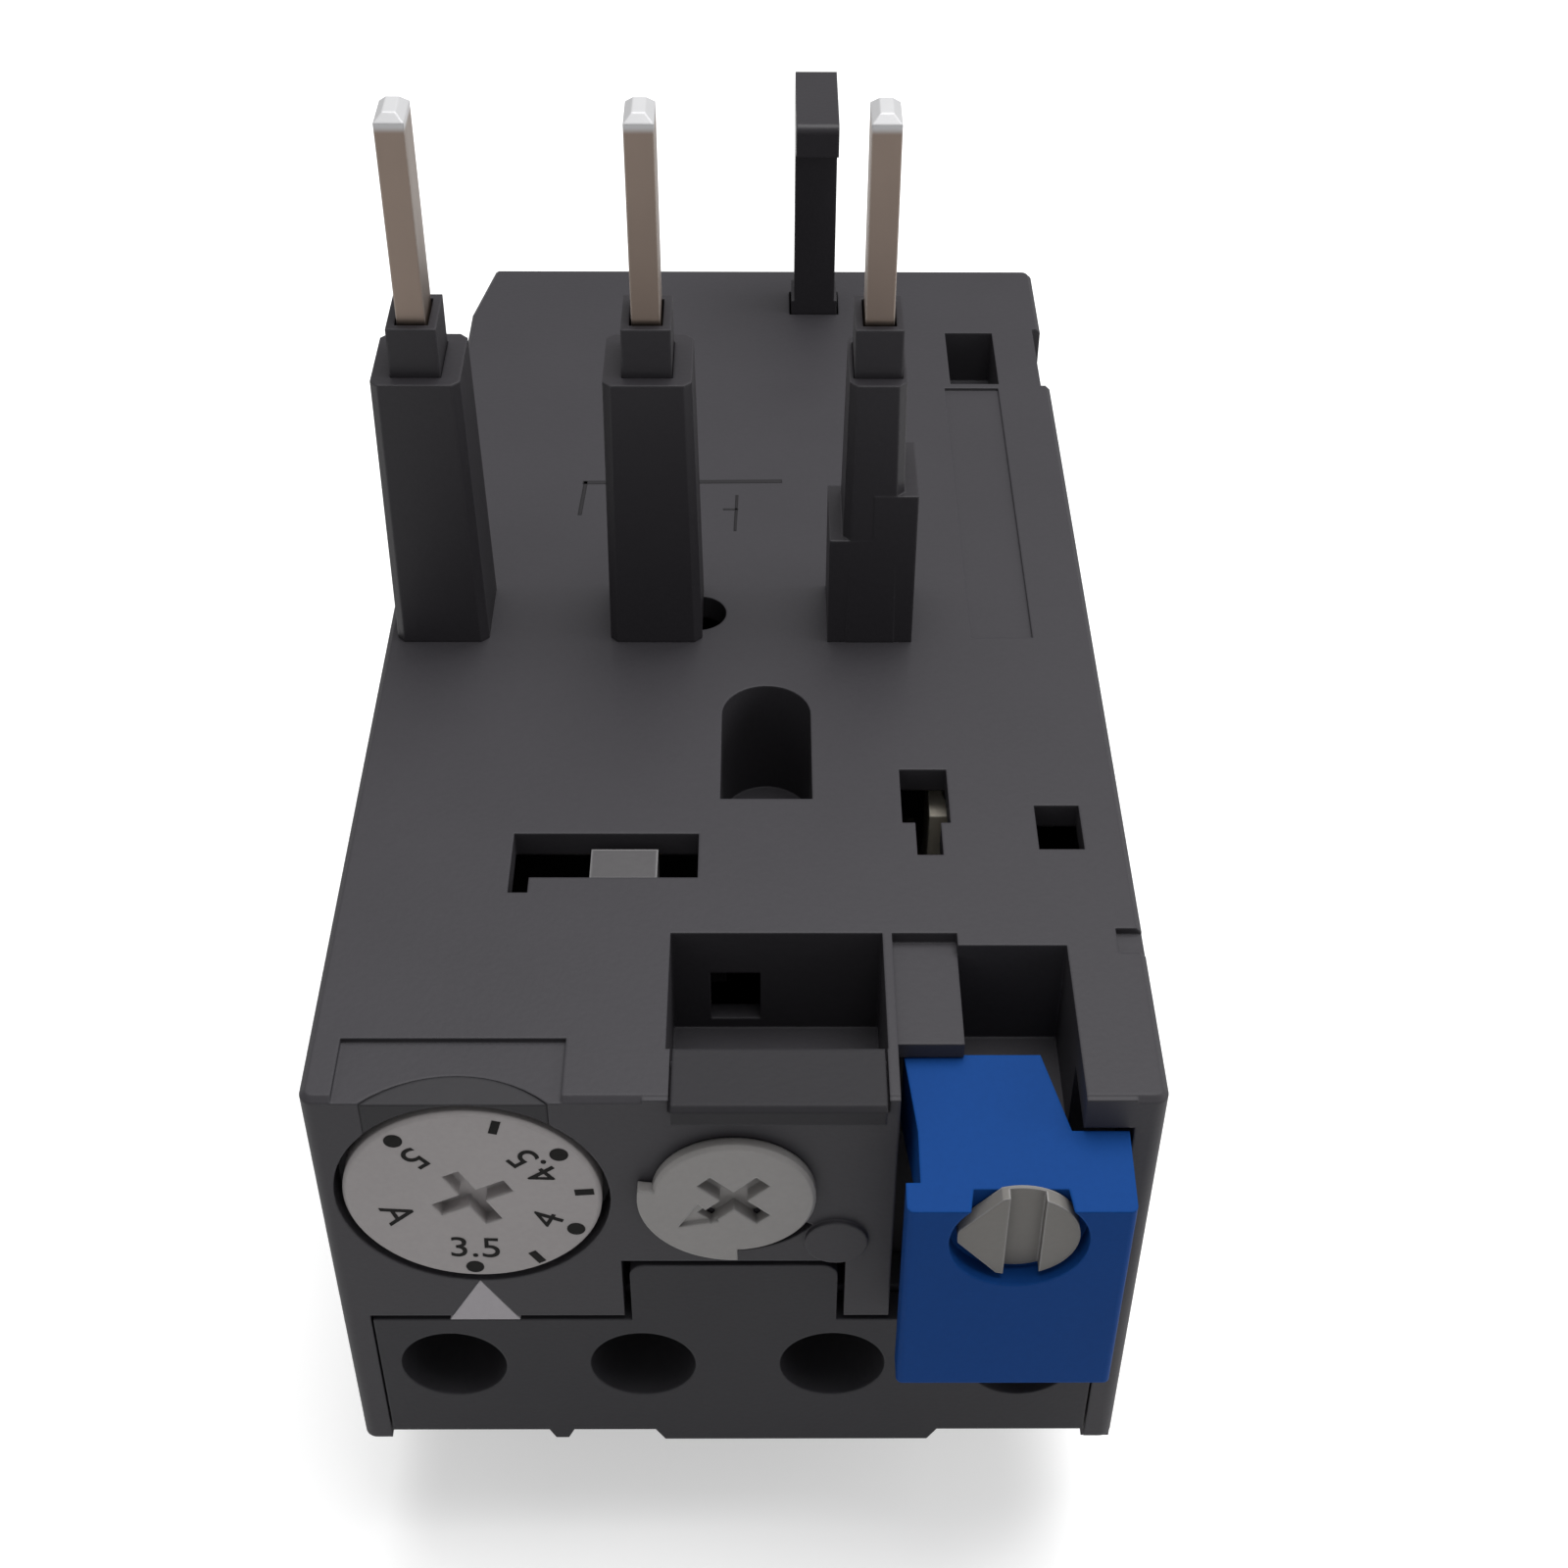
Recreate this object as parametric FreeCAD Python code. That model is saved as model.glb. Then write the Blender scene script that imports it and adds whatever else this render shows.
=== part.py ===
"""Plug-in thermal overload relay: three line pins and a hook carry it under a contactor.

Millimetres. X runs across, Y from the front face to the back, Z up. The origin is at the
bottom, in the middle of the whole relay. Places are given as x, as depth (back from the
front face) and as drop (down from the top face); what stands above the top has a drop
below zero.
"""
import FreeCAD, Part
import math
import os

V = FreeCAD.Vector

# ---- Clearances ---------------------------------------------------------------------
shaft_gap = 0.05        # radial, between a shaft and its bore
slide_gap = 0.15        # each side, between a slide and its guide
seam_gap = 0.25         # between two mouldings that meet on the outside
cover_gap = 0.45         # round the terminal cover and its tab
free_gap = 0.35         # between a moving piece and what it passes

# ---- Housing ------------------------------------------------------------------------
case_depth = 91.1
body_height = 44.7
wall = 1.8
inner_wall = 1.2
front_wall = 2.0
corner_radius = 0.8
top_edge_bevel = 0.35
seam_drop = 26.0            # where the case meets the base
front_block_drop = 33.0     # bottom of the front block
front_block_depth = 20.0
foot_width = 1.8
right_foot_length = 1.2     # the right foot is this much longer than the left one
relief = 1.7                # the left side steps in behind the left pin
relief_start = 48.8
relief_back = 7.1           # the step ends this far in front of the back
rear_taper = 1.3
deck_drop = 19.75           # floor of the mechanism room, over the auxiliary terminals
deck_thickness = 0.9
latch_front = 30.0          # snap hooks of the base, two on each side
latch_back = 21.1
latch_width = 5.0
latch_rise = 4.2
latch_hook = 1.4
latch_hook_height = 1.6
latch_thickness = 1.0

# ---- Front face: dial, test knob ----------------------------------------------------
dial_margin = 1.05           # from the left side to the dial's seat
dial_drop = 8.45
dial_radius = 7.4
dial_gap = 0.5              # round the dial in its seat
dial_thickness = 1.9
rim_bevel = 0.2
dial_proud = 0.1
dial_shaft_radius = 3.0
dial_boss_depth = 4.0
cam_radius = 4.2
cam_offset = 1.0
cam_start = 9.5
cam_length = 3.0
scallop_radius = 7.9
scallop_depth = 2.0
scallop_drop = 3.6
scallop_shift = 0.45
front_step_drop = 0.35
front_step_right = 5.55     # right end of the step, from the dial's axis
pointer_height = 3.9
pointer_width = 4.25
pointer_shift = 0.2
pointer_thickness = 0.8

test_dial_gap = 1.55        # between the dial's seat and the knob's step
test_drop = 7.8
test_radius = 4.7
test_sector_radius = 5.5
test_sector_start = 171.0   # degrees, anticlockwise from +X as seen from the front
test_sector_sweep = 101.0
test_proud = 0.85
test_thickness = 0.75
test_hub_radius = 2.2
test_hub_length = 2.9
test_finger_radius = 0.7
test_finger_orbit = 3.6
test_finger_end = 8.0
test_travel = 34.0
stop_boss_offset = 5.95      # from the knob's axis
stop_boss_drop = 12.45
stop_boss_radius = 1.85
stop_boss_gap = 1.7        # between the boss and the reset button
stop_boss_proud = 0.3

cross_slot_width = 1.1
dial_slot = (4.8, 0.9)      # length and depth of the cross slots
test_slot = (4.8, 0.9)
arrow_reach = (1.8, 4.0)
arrow_half_width = 1.0
arrow_depth = 0.25
arrow_turn = 143.0          # clockwise from +X as seen from the front

# ---- Front top edge: bridge strip, wells --------------------------------------------
bridge_reach = 3.55          # left end of the bridge, from the knob's axis
bridge_reset_gap = 0.85     # between the bridge and the reset button
bridge_depth = 3.7
bridge_thickness = 1.05
bridge_lip = 0.7
bridge_bevel = 0.3
well_reach = 3.8            # left side of the well, from the knob's axis
well_width = 12.5
well_end = 12.8
well_drop = 8.2
well_window_width = 3.0
well_window_drop = (3.4, 7.4)

# ---- Reset button and selector ------------------------------------------------------
reset_reach = 5.0           # the button's face stands this far in front of the case
reset_margin = 2.0         # from the button to the right side
reset_width = 12.6
reset_bottom = 19.6
reset_crease = 3.5          # drop of the edge between its face and its sloping top
reset_slope = 0.15
reset_flange = 1.8
reset_neck_inset = (0.8, 3.2)  # from the head's left and right
reset_neck_back = 5.0
reset_neck_taper = 1.4
reset_neck_bottom = 7.6
reset_head_back = 0.05
reset_travel = 3.0
reset_pocket_depth = 4.5
reset_roof = 2.4
reset_shelf_width = 3.6
reset_shelf_back = 12.8
reset_shelf_step = 0.8
reset_well_inset = 2.6
reset_well_back = 11.8
reset_well_floor = 8.0
stem_width = 5.0
stem_height = 4.8
stem_inset = 7.0           # from the button's right side to the stem's axis
stem_top = 10.2
stem_end = 18.6
spring_bore_radius = 1.9
spring_bore_length = 6.6
spring_radius = 1.4
spring_wire = 0.3
spring_turns = 2
spring_wall_gap = 1.2       # behind the wall that holds the spring

selector_inset = 6.3       # from the button's right side
selector_drop = 6.2
selector_radius = 3.4
selector_pocket_radius = 3.9
selector_pocket_depth = 1.4
selector_recess = 0.4
selector_slot_width = 2.0
selector_slot_shift = 0.33
selector_slot_depth = 0.7
selector_shaft_radius = 1.5
selector_shaft_length = 4.0

# ---- Auxiliary terminals ------------------------------------------------------------
aux_side_margin = 1.2       # the four auxiliary terminals share the width less this
aux_drop = 25.0
aux_hole_radius = 3.25
aux_tube_radius = 4.1
aux_tube_length = 2.6
aux_wall = 1.5
aux_chamber_back = 16.8
aux_head_radius = 2.8
aux_head_start = 5.0
aux_head_length = 2.2
aux_shank_radius = 1.55
aux_clamp_gap = 0.8
aux_clamp_height = 7.0
aux_clamp_thickness = 1.2
aux_wire_gap = 4.2
aux_strip_thickness = 0.8
aux_strip_width = 6.0
aux_strip_bottom = 29.0
aux_screw_end = 15.0
cover_thickness = 2.0
cover_top = 20.35
cover_bottom = 32.2
cover_tab = (-6.35, 6.0, 14.95)   # left, right, top
cover_tab_radius = 1.0
cover_rib_x = -11.3
cover_rib_width = 1.6
cover_rib_length = 0.9
cover_lip = (-4.7, 12.1)
cover_lip_length = 1.1

# ---- Contacts and trip mechanism ----------------------------------------------------
contact_leg_drop = 17.2
contact_tip_drop = 9.5
contact_tip_half = 1.0
contact_tip_length = 0.6
contact_post_width = 2.4
contact_well_gap = 0.4      # between the front well and the contact posts
blade_thickness = 0.4
blade_height = 3.0
closed_blade_x = -11.0
open_blade_x = 6.0
carrier_left = -10.5
carrier_right = 13.3
carrier_front_gap = 1.1     # from the front posts to the carrier
carrier_rear_gap = 0.3
carrier_width = 2.6
carrier_drop = 3.0
carrier_height = 3.5
carrier_tab = (-9.0, -4.9)
carrier_tab_top = 0.5
carrier_travel = 2.5
carrier_lug_width = 1.6
guide_thickness = 1.2
carrier_guides = (-1.9, 9.4)
window = (-13.8, -2.4)
window_length = 3.9
window_margin = 0.4         # from the window to the carrier
window_leg = (1.2, 1.3)
wide_hole = ((10.2, 13.2), (22.4, 27.4))
narrow_hole = ((11.0, 12.6), (19.5, 22.4))
side_hole = ((18.5, 21.3), (20.0, 24.0))

slide_end_gap = 0.4         # at the right end, with the slide across
slide_left_room = 2.2
slide_setback = 1.7         # from the divider to the slide
slide_thickness = 1.2
slide_drop = 12.5
slide_height = 4.0
slide_travel = 2.0
slide_guides = (-18.5, 8.5)
finger_length = 3.9
finger_thickness = 1.2
slide_tab_x = 11.0
slide_tab_overlap = 0.8     # of the tab and the compensating strip

pivot_x = 14.5
pivot_setback = 7.5         # from the pivot to the divider
pivot_radius = 1.2
lever_hub_radius = 2.2
lever_top = 3.5
lever_bottom = 16.0
lever_arm_width = 1.8
lever_arm_overlap = 1.0     # of the arm and the carrier's end
strip_reach = 7.0
strip_start = 2.3
strip_lug_reach = 4.6
strip_thickness = 0.8

# ---- Top openings -------------------------------------------------------------------
arch_well = (-1.15, 4.65)
arch_length = 11.2
arch_post_gap = 0.2         # from the rear contact posts to the arch's wall
arch_divider_gap = 0.7
arch_well_drop = 9.0
square_well_inset = 4.0     # from the right side
square_well_width = 3.8
square_well_back = 10.2     # from the back of the case
square_well_length = 7.7
square_well_drop = 4.5
channel = ((15.7, 19.9), (41.0, 72.6))
channel_drop = 0.25
side_notch = (0.7, 8.5, 5.0)    # width, length and height
side_notch_back = 9.6
seam_notch = (1.6, 2.0, 0.5)
seam_notch_depth = 11.2

# ---- Pins, sleeves, hook ------------------------------------------------------------
pole_pitch = 14.45
pole_inset = 3.85           # from the left side to the first pole
pin_width = 1.8
pin_depth = 3.0
pin_front = 42.2
pin_rise = 37.2
pin_foot_drop = 3.8
pin_foot_thickness = 1.2
pin_foot_width = 2.4
pin_tip_bevel = 0.5
sleeve_front = 40.6
sleeve_depth = 6.2
sleeve_rise = 20.1
sleeve_widths = (5.9, 5.9, 3.9)
sleeve_feet = (5.9, 5.9, 5.7)
sleeve_draft = 0.3
collar_rise_left = 8.4
collar_rise_right = 11.9
inner_sleeve_rise = 23.5
inner_sleeve_wall = 0.5
sleeve_flange = 0.5
sleeve_flange_thickness = 1.0

hook_x = 5.65
hook_width = 3.25
hook_foot_width = 3.7
hook_back = 7.2             # from the hook's front to the back of the case
hook_thickness = 3.4
hook_rise = 18.25
hook_nose = 3.9             # the nose and the tail stand this far out of the stem
hook_tail = 6.1
hook_lip = 2.5
hook_nose_rise = 1.6
hook_tail_rise = 2.6
hook_bend_radius = 0.6
hook_collar_rise = 1.2
hook_flange = (0.8, 1.0)    # length and thickness

# ---- Heaters and main terminals -----------------------------------------------------
bimetal_thickness = 0.9
bimetal_height = 6.5
bimetal_drop = 10.8
bimetal_slide_gap = 0.9
bimetal_rear_room = 7.1     # from its back to the back of the case
heater_turns = 5
heater_pitch = 3.6
heater_lead = 4.0           # from the winding to the post
heater_half_width = 2.6
heater_drop = (9.0, 19.1)
ribbon_width = 1.4
ribbon_thickness = 0.8
bar_thickness = 1.2
bar_width = 6.0
bar_drop = 31.0
bar_rear_room = 6.1
post_length = 6.0
post_top = 10.5

main_drop = 38.5
main_hole_radius = 3.6
main_head_radius = 3.3
main_head_start = 25.4
main_head_length = 3.0
main_shank_radius = 1.95
main_clamp_width = 9.0
main_clamp_height = 8.0
main_clamp_thickness = 1.6
main_wire_gap = 4.8
main_plate_width = 9.0
main_plate_thickness = 1.4
main_plate_bottom = 42.4
main_screw_end = 38.0
main_mouth = (26.0, 38.6)
main_mouth_width = 11.0
main_back_wall = 41.0

# ---- Worked out from the above ------------------------------------------------------
# The controls in the front row set the width of the case.
dial_seat_radius = dial_radius + dial_gap
case_width = (dial_margin + 2 * dial_seat_radius + test_dial_gap + test_sector_radius
              + stop_boss_offset + stop_boss_radius + stop_boss_gap + reset_width
              + reset_margin)
half_width = case_width / 2
inner_half = half_width - wall
front_y = -(case_depth - reset_reach) / 2
top_z = body_height

# Front row, from the left.
dial_x = -half_width + dial_margin + dial_seat_radius
test_x = dial_x + dial_seat_radius + test_dial_gap + test_sector_radius
stop_boss_x = test_x + stop_boss_offset
reset_left = stop_boss_x + stop_boss_radius + stop_boss_gap
reset_right = reset_left + reset_width
reset_neck_left = reset_left + reset_neck_inset[0]
reset_neck_right = reset_right - reset_neck_inset[1]
reset_shelf_right = reset_left + reset_shelf_width
reset_well_right = reset_right - reset_well_inset
stem_x = reset_right - stem_inset
selector_x = reset_right - selector_inset
bridge_left = test_x - bridge_reach
bridge_right = reset_left - bridge_reset_gap
well_left = test_x - well_reach
well_right = well_left + well_width

# Mechanism, from the front well back to the heater room.
contact_front_depth = well_end + inner_wall + contact_well_gap + contact_post_width / 2
carrier_depth = contact_front_depth + contact_post_width / 2 + carrier_front_gap
contact_rear_depth = (carrier_depth + carrier_width + carrier_rear_gap
                      + contact_post_width / 2)
arch_front = contact_rear_depth + contact_post_width / 2 + arch_post_gap + inner_wall
arch_back = arch_front + arch_length
divider_depth = arch_back + arch_divider_gap
slide_depth = divider_depth + inner_wall + slide_setback
pivot_depth = divider_depth - pivot_setback
slide_tab_front = pivot_depth + strip_reach - slide_tab_overlap
lever_arm_reach = pivot_depth - carrier_depth - carrier_width + lever_arm_overlap
spring_seat = pivot_depth - lever_hub_radius - spring_wall_gap - inner_wall
window_front = carrier_depth - window_margin
bimetal_front = slide_depth + slide_thickness + bimetal_slide_gap
slide_left = -inner_half + slide_left_room
slide_right = inner_half - slide_travel - slide_end_gap
slide_tab_right = slide_tab_x + finger_thickness

# Heater room, from the back.
relief_end = case_depth - relief_back
latch_depths = (latch_front, case_depth - latch_back)
bimetal_back = case_depth - bimetal_rear_room
bar_back = case_depth - bar_rear_room
post_front = bar_back - post_length
heater_start = post_front - heater_lead - heater_turns * heater_pitch
pin_foot_end = heater_start + ribbon_width
hook_front = case_depth - hook_back
square_well = (half_width - square_well_inset - square_well_width,
               half_width - square_well_inset)
square_well_depth = (case_depth - square_well_back - square_well_length,
                     case_depth - square_well_back)

# Terminals, bays and poles, across.
aux_pitch = (case_width - aux_side_margin) / 4
aux_clamp_width = aux_pitch - aux_wall - 2 * aux_clamp_gap
aux_x = [(i - 1.5) * aux_pitch for i in range(4)]
base_front = front_block_depth + 0.4
room_left = -inner_half + relief
bay_pitch = (inner_half - room_left + inner_wall) / 3
bay_x = [room_left + (bay_pitch - inner_wall) / 2 + i * bay_pitch for i in range(3)]
inner_hole = (pin_width + 2 * slide_gap, pin_depth + 2 * slide_gap)
pole_x = [-half_width + pole_inset + i * pole_pitch for i in range(3)]


# ---- Shape helpers ------------------------------------------------------------------
def block(x, depth, drop):
    """Box between pairs of x, depth and drop."""
    corner = V(x[0], front_y + depth[0], top_z - drop[1])
    return Part.makeBox(x[1] - x[0], depth[1] - depth[0], drop[1] - drop[0], corner)


def around(centre, size):
    """Pair that lies evenly about a centre."""
    return (centre - size / 2, centre + size / 2)


def rod_back(x, drop, radius, depth):
    """Cylinder that runs from the front towards the back."""
    start = V(x, front_y + depth[0], top_z - drop)
    return Part.makeCylinder(radius, depth[1] - depth[0], start, V(0, 1, 0))


def rod_down(x, depth, radius, drop):
    """Upright cylinder."""
    start = V(x, front_y + depth, top_z - drop[1])
    return Part.makeCylinder(radius, drop[1] - drop[0], start, V(0, 0, 1))


def prism(points, along):
    """Straight-sided solid on a closed outline."""
    return Part.Face(Part.makePolygon(points + points[:1])).extrude(along)


def plan_prism(outline, drop):
    """Solid from a plan outline of (x, depth) points."""
    points = [V(x, front_y + depth, top_z - drop[1]) for x, depth in outline]
    return prism(points, V(0, 0, drop[1] - drop[0]))


def side_prism(outline, x):
    """Solid from a side outline of (depth, drop) points."""
    points = [V(x[0], front_y + depth, top_z - drop) for depth, drop in outline]
    return prism(points, V(x[1] - x[0], 0, 0))


def front_prism(outline, depth):
    """Solid from a front outline of (x, drop) points."""
    points = [V(x, front_y + depth[0], top_z - drop) for x, drop in outline]
    return prism(points, V(0, depth[1] - depth[0], 0))


def join(first, *others):
    """One solid of several that touch."""
    return first.fuse(list(others)).removeSplitter()


def corner_edges(shape, direction, places=None):
    """Straight edges along a direction, at all places or near the given (x, depth, drop)."""
    found = []
    for edge in shape.Edges:
        if edge.Curve.TypeId != "Part::GeomLine":
            continue
        line = (edge.Vertexes[1].Point - edge.Vertexes[0].Point).normalize()
        if abs(line.dot(direction)) < 0.999:
            continue
        if places is None or any(is_near(edge.CenterOfMass, place) for place in places):
            found.append(edge)
    return found


def is_near(point, place):
    """True if a point has the given x, depth and drop, where None fits any."""
    found = (point.x, point.y - front_y, top_z - point.z)
    return all(want is None or abs(have - want) < 0.01 for have, want in zip(found, place))


def cross_slot(x, drop, face, size, turn):
    """Two crossed slots, of a given length and depth, in a face."""
    length, depth = size
    arms = []
    for angle in (turn, turn + 90):
        arm = block(around(x, length), (face, face + depth),
                    around(drop, cross_slot_width))
        arm.rotate(V(x, 0, top_z - drop), V(0, 1, 0), angle)
        arms.append(arm)
    return join(*arms)


def plan_outline(front, inset=0.0):
    """Plan of the housing from a front line to the back, set in by a wall."""
    left = -half_width + inset
    right = half_width - inset
    back = case_depth - inset
    step = relief_start - inset
    return [(left, front), (right, front), (right, back), (left + relief + rear_taper, back),
            (left + relief, relief_end), (left + relief, step), (left, step)]


# ---- Case: the upper moulding -------------------------------------------------------
def case_outside():
    """Outside of the case: a deep front block and a shallower rear part."""
    side = [(0, 0), (case_depth, 0), (case_depth, seam_drop), (front_block_depth, seam_drop),
            (front_block_depth, front_block_drop), (0, front_block_drop)]
    body = side_prism(side, (-half_width, half_width))
    body = body.common(plan_prism(plan_outline(0), (0, front_block_drop)))
    corners = [(-half_width, 0, None), (half_width, 0, None), (half_width, case_depth, None)]
    body = body.makeFillet(corner_radius, corner_edges(body, V(0, 0, 1), corners))
    rim = [edge for edge in body.Edges if abs(edge.BoundBox.ZMin - top_z) < 0.001]
    body = body.makeChamfer(top_edge_bevel, rim)
    foot = block((half_width - foot_width, half_width), (corner_radius, front_block_depth / 2),
                 (front_block_drop, front_block_drop + right_foot_length))
    return join(body, foot)


def case_rooms():
    """Hollows of the case: the room inside, and the front opening for the cover."""
    span = (-inner_half, inner_half)
    room = plan_prism(plan_outline(front_wall, wall), (wall, front_block_drop))
    front_opening = block(span, (0, cover_thickness),
                          (cover_top - cover_gap, front_block_drop))
    left, right, top = cover_tab
    tab = block((left - cover_gap, right + cover_gap), (0, front_wall),
                (top - cover_gap, cover_top))
    return [room, front_opening, tab]


def case_inner_walls():
    """What stands inside the case: well walls, bosses, guides and the pivot."""
    left_well = block((well_left - inner_wall, well_right + inner_wall),
                      (0, well_end + inner_wall), (0.1, well_drop + inner_wall))
    right_well = block((well_right, inner_half), (0, well_end + inner_wall),
                       (0.1, reset_well_floor + inner_wall))
    arch = block((arch_well[0] - inner_wall, arch_well[1] + inner_wall),
                 (arch_front - inner_wall, divider_depth - slide_gap),
                 (wall / 2, arch_well_drop + inner_wall))
    square = block((square_well[0] - inner_wall, square_well[1] + inner_wall),
                   (square_well_depth[0] - inner_wall, square_well_depth[1] + inner_wall),
                   (wall / 2, square_well_drop + inner_wall))
    dial_boss = block(around(dial_x, 2 * (dial_shaft_radius + wall)),
                      (front_wall / 2, dial_boss_depth),
                      around(dial_drop, 2 * (dial_shaft_radius + wall)))
    reset_back = block((reset_left - seam_gap, inner_half),
                       (reset_pocket_depth, reset_pocket_depth + wall),
                       (reset_well_floor, deck_drop))
    carrier_ribs = [block((x, x + guide_thickness),
                          (carrier_depth - wall, carrier_depth + carrier_width + wall),
                          (wall / 2, carrier_drop + carrier_height + inner_wall))
                    for x in carrier_guides]
    spring_wall = block((stem_x - stem_width / 2, inner_half),
                        (spring_seat, spring_seat + inner_wall),
                        (stem_top - 0.6, stem_top + stem_height + 0.6))
    pivot = rod_down(pivot_x, pivot_depth, pivot_radius, (wall / 2, lever_bottom + inner_wall))
    return [left_well, right_well, arch, square, dial_boss, reset_back, spring_wall,
            pivot] + carrier_ribs


def case_front_cuts():
    """Seats in the front: dial, pointer, test knob, bridge strip and reset button."""
    dial_seat = rod_back(dial_x, dial_drop, dial_seat_radius,
                         (0, dial_thickness - dial_proud + slide_gap))
    dial_bore = rod_back(dial_x, dial_drop, dial_shaft_radius + shaft_gap,
                         (0, dial_boss_depth))
    scallop = rod_down(dial_x - scallop_shift, scallop_depth - scallop_radius,
                       scallop_radius, (0, scallop_drop))
    pointer = setting_pointer_body(pointer_thickness, 0.02)
    test_bore = rod_back(test_x, test_drop, test_hub_radius + shaft_gap,
                         (0, test_hub_length + slide_gap))
    bridge = block((bridge_left, bridge_right), (0, bridge_depth), (0, bridge_thickness))
    well = block((well_left, well_right), (bridge_depth, well_end), (0, well_drop))
    latch = block(around(test_x, well_window_width), (well_end, well_end + inner_wall),
                  well_window_drop)
    pocket_left = reset_left - seam_gap
    pocket_right = reset_right + seam_gap
    reset_pocket = block((pocket_left, pocket_right), (0, reset_pocket_depth),
                         (reset_roof, cover_top))
    reset_notch = block((pocket_left, reset_well_right),
                        (0, reset_pocket_depth + seam_gap), (0, reset_roof))
    neck_room = block((pocket_left, reset_well_right), (reset_pocket_depth, reset_well_back),
                      (reset_shelf_step + inner_wall - 0.1, reset_well_floor))
    reset_well = block((reset_shelf_right, reset_well_right),
                       (reset_pocket_depth, reset_well_back), (0, reset_well_floor))
    shelf = block((pocket_left, reset_shelf_right), (reset_pocket_depth, reset_shelf_back),
                  (0, reset_shelf_step))
    stem_slot = block(around(stem_x, stem_width + 2 * slide_gap),
                      (reset_pocket_depth, reset_pocket_depth + wall),
                      (stem_top - slide_gap, stem_top + stem_height + slide_gap))
    return [dial_seat, dial_bore, scallop, pointer, test_bore, test_track(), bridge, well,
            latch, reset_pocket, reset_notch, neck_room, reset_well, shelf, stem_slot]


def test_track():
    """Curved slot in the front that the test knob's finger and step run in."""
    inner = test_finger_orbit - test_finger_radius - slide_gap
    centre = V(test_x, front_y, top_z - test_drop)
    outer_disc = Part.makeCylinder(test_sector_radius + slide_gap, bridge_depth, centre,
                                   V(0, 1, 0))
    inner_disc = Part.makeCylinder(inner, bridge_depth, centre, V(0, 1, 0))
    reach = 2 * test_sector_radius
    first = math.radians(test_sector_start + test_sector_sweep - 20)
    last = math.radians(test_sector_start + test_sector_sweep + test_travel + 18)
    wedge = front_prism([(test_x, test_drop)]
                        + [(test_x + reach * math.cos(angle),
                            test_drop - reach * math.sin(angle))
                           for angle in (first, (first + last) / 2, last)],
                        (0, bridge_depth))
    below_well = block((-half_width, half_width), (0, bridge_depth),
                       (well_drop + inner_wall, cover_tab[2] - cover_gap - 0.1))
    return outer_disc.cut(inner_disc).common(wedge).common(below_well)


def case_top_cuts():
    """Windows, wells and seats in the top face."""
    span = (0, wall)
    main_window = block(window, (window_front, window_front + window_length), span)
    leg = block((window[0], window[0] + window_leg[0]),
                (window_front - window_leg[1], window_front), span)
    holes = [block(*place, span) for place in (wide_hole, narrow_hole, side_hole)]
    arch_radius = (arch_well[1] - arch_well[0]) / 2
    arch_centre = arch_back - arch_radius
    arch = join(block(arch_well, (arch_front, arch_centre), (0, arch_well_drop)),
                rod_down(arch_well[0] + arch_radius, arch_centre, arch_radius,
                         (0, arch_well_drop)))
    square = block(square_well, square_well_depth, (0, square_well_drop))
    band = block(*channel, (0, channel_drop))
    front_step = block((-half_width + wall, dial_x + front_step_right),
                       (-0.1, bridge_depth + 0.8), (0, front_step_drop))
    notch_end = case_depth - side_notch_back
    notch = block((half_width - side_notch[0], half_width),
                  (notch_end - side_notch[1], notch_end), (0, side_notch[2]))
    seam = block((half_width - seam_notch[0], half_width),
                 (seam_notch_depth, seam_notch_depth + seam_notch[1]), (0, seam_notch[2]))
    seats = [sleeve_seat(i) for i in range(3)]
    hook_seat = block(around(hook_x, hook_foot_width + 2 * slide_gap),
                      (hook_front - slide_gap, hook_front + hook_thickness + slide_gap), span)
    return [main_window, leg, arch, square, band, front_step, notch, seam,
            hook_seat] + holes + seats


def sleeve_seat(i):
    """Hole in the top wall for a sleeve; the middle one is longer, with a round end."""
    spigot = sleeve_feet[i] - 2 * sleeve_flange
    x = around(pole_x[i], spigot + 2 * slide_gap)
    depth = around(sleeve_front + sleeve_depth / 2, sleeve_depth - 2 * sleeve_flange
                   + 2 * slide_gap)
    seat = block(x, depth, (0, wall))
    if i == 1:
        middle = sleeve_front + sleeve_depth / 2
        seat = join(seat, rod_down(x[1] + 0.2, middle, 1.9, (0, wall)))
    return seat


def carrier_slot():
    """Way through the guide ribs for the contact carrier."""
    return block((carrier_guides[0], carrier_guides[1] + guide_thickness),
                 (carrier_depth - slide_gap, carrier_depth + carrier_width + slide_gap),
                 (carrier_drop - slide_gap, carrier_drop + carrier_height + slide_gap))


def latch_places():
    """Side (-1 or 1), inner face of the case wall and depth of each snap latch."""
    places = []
    for depth in latch_depths:
        left = inner_half - (relief if depth > relief_start else 0)
        places.append((-1, -left, depth))
        places.append((1, inner_half, depth))
    return places


def latch_window(side, face, depth):
    """Window in the case wall that a snap hook catches in."""
    outer = face + side * (wall + 0.1)
    return block((min(face, outer), max(face, outer)),
                 around(depth, latch_width + 2 * seam_gap),
                 (seam_drop - latch_rise - seam_gap,
                  seam_drop - latch_rise + latch_hook_height + seam_gap))


def case():
    """Upper moulding: shell and inner walls, then every seat and opening."""
    body = case_outside().cut(case_rooms())
    body = join(body, *case_inner_walls())
    boss = rod_back(stop_boss_x, stop_boss_drop, stop_boss_radius,
                    (-stop_boss_proud, front_wall))
    windows = [latch_window(*place) for place in latch_places()]
    body = body.cut(case_front_cuts() + case_top_cuts() + windows + [carrier_slot()])
    return join(body, boss)


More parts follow.
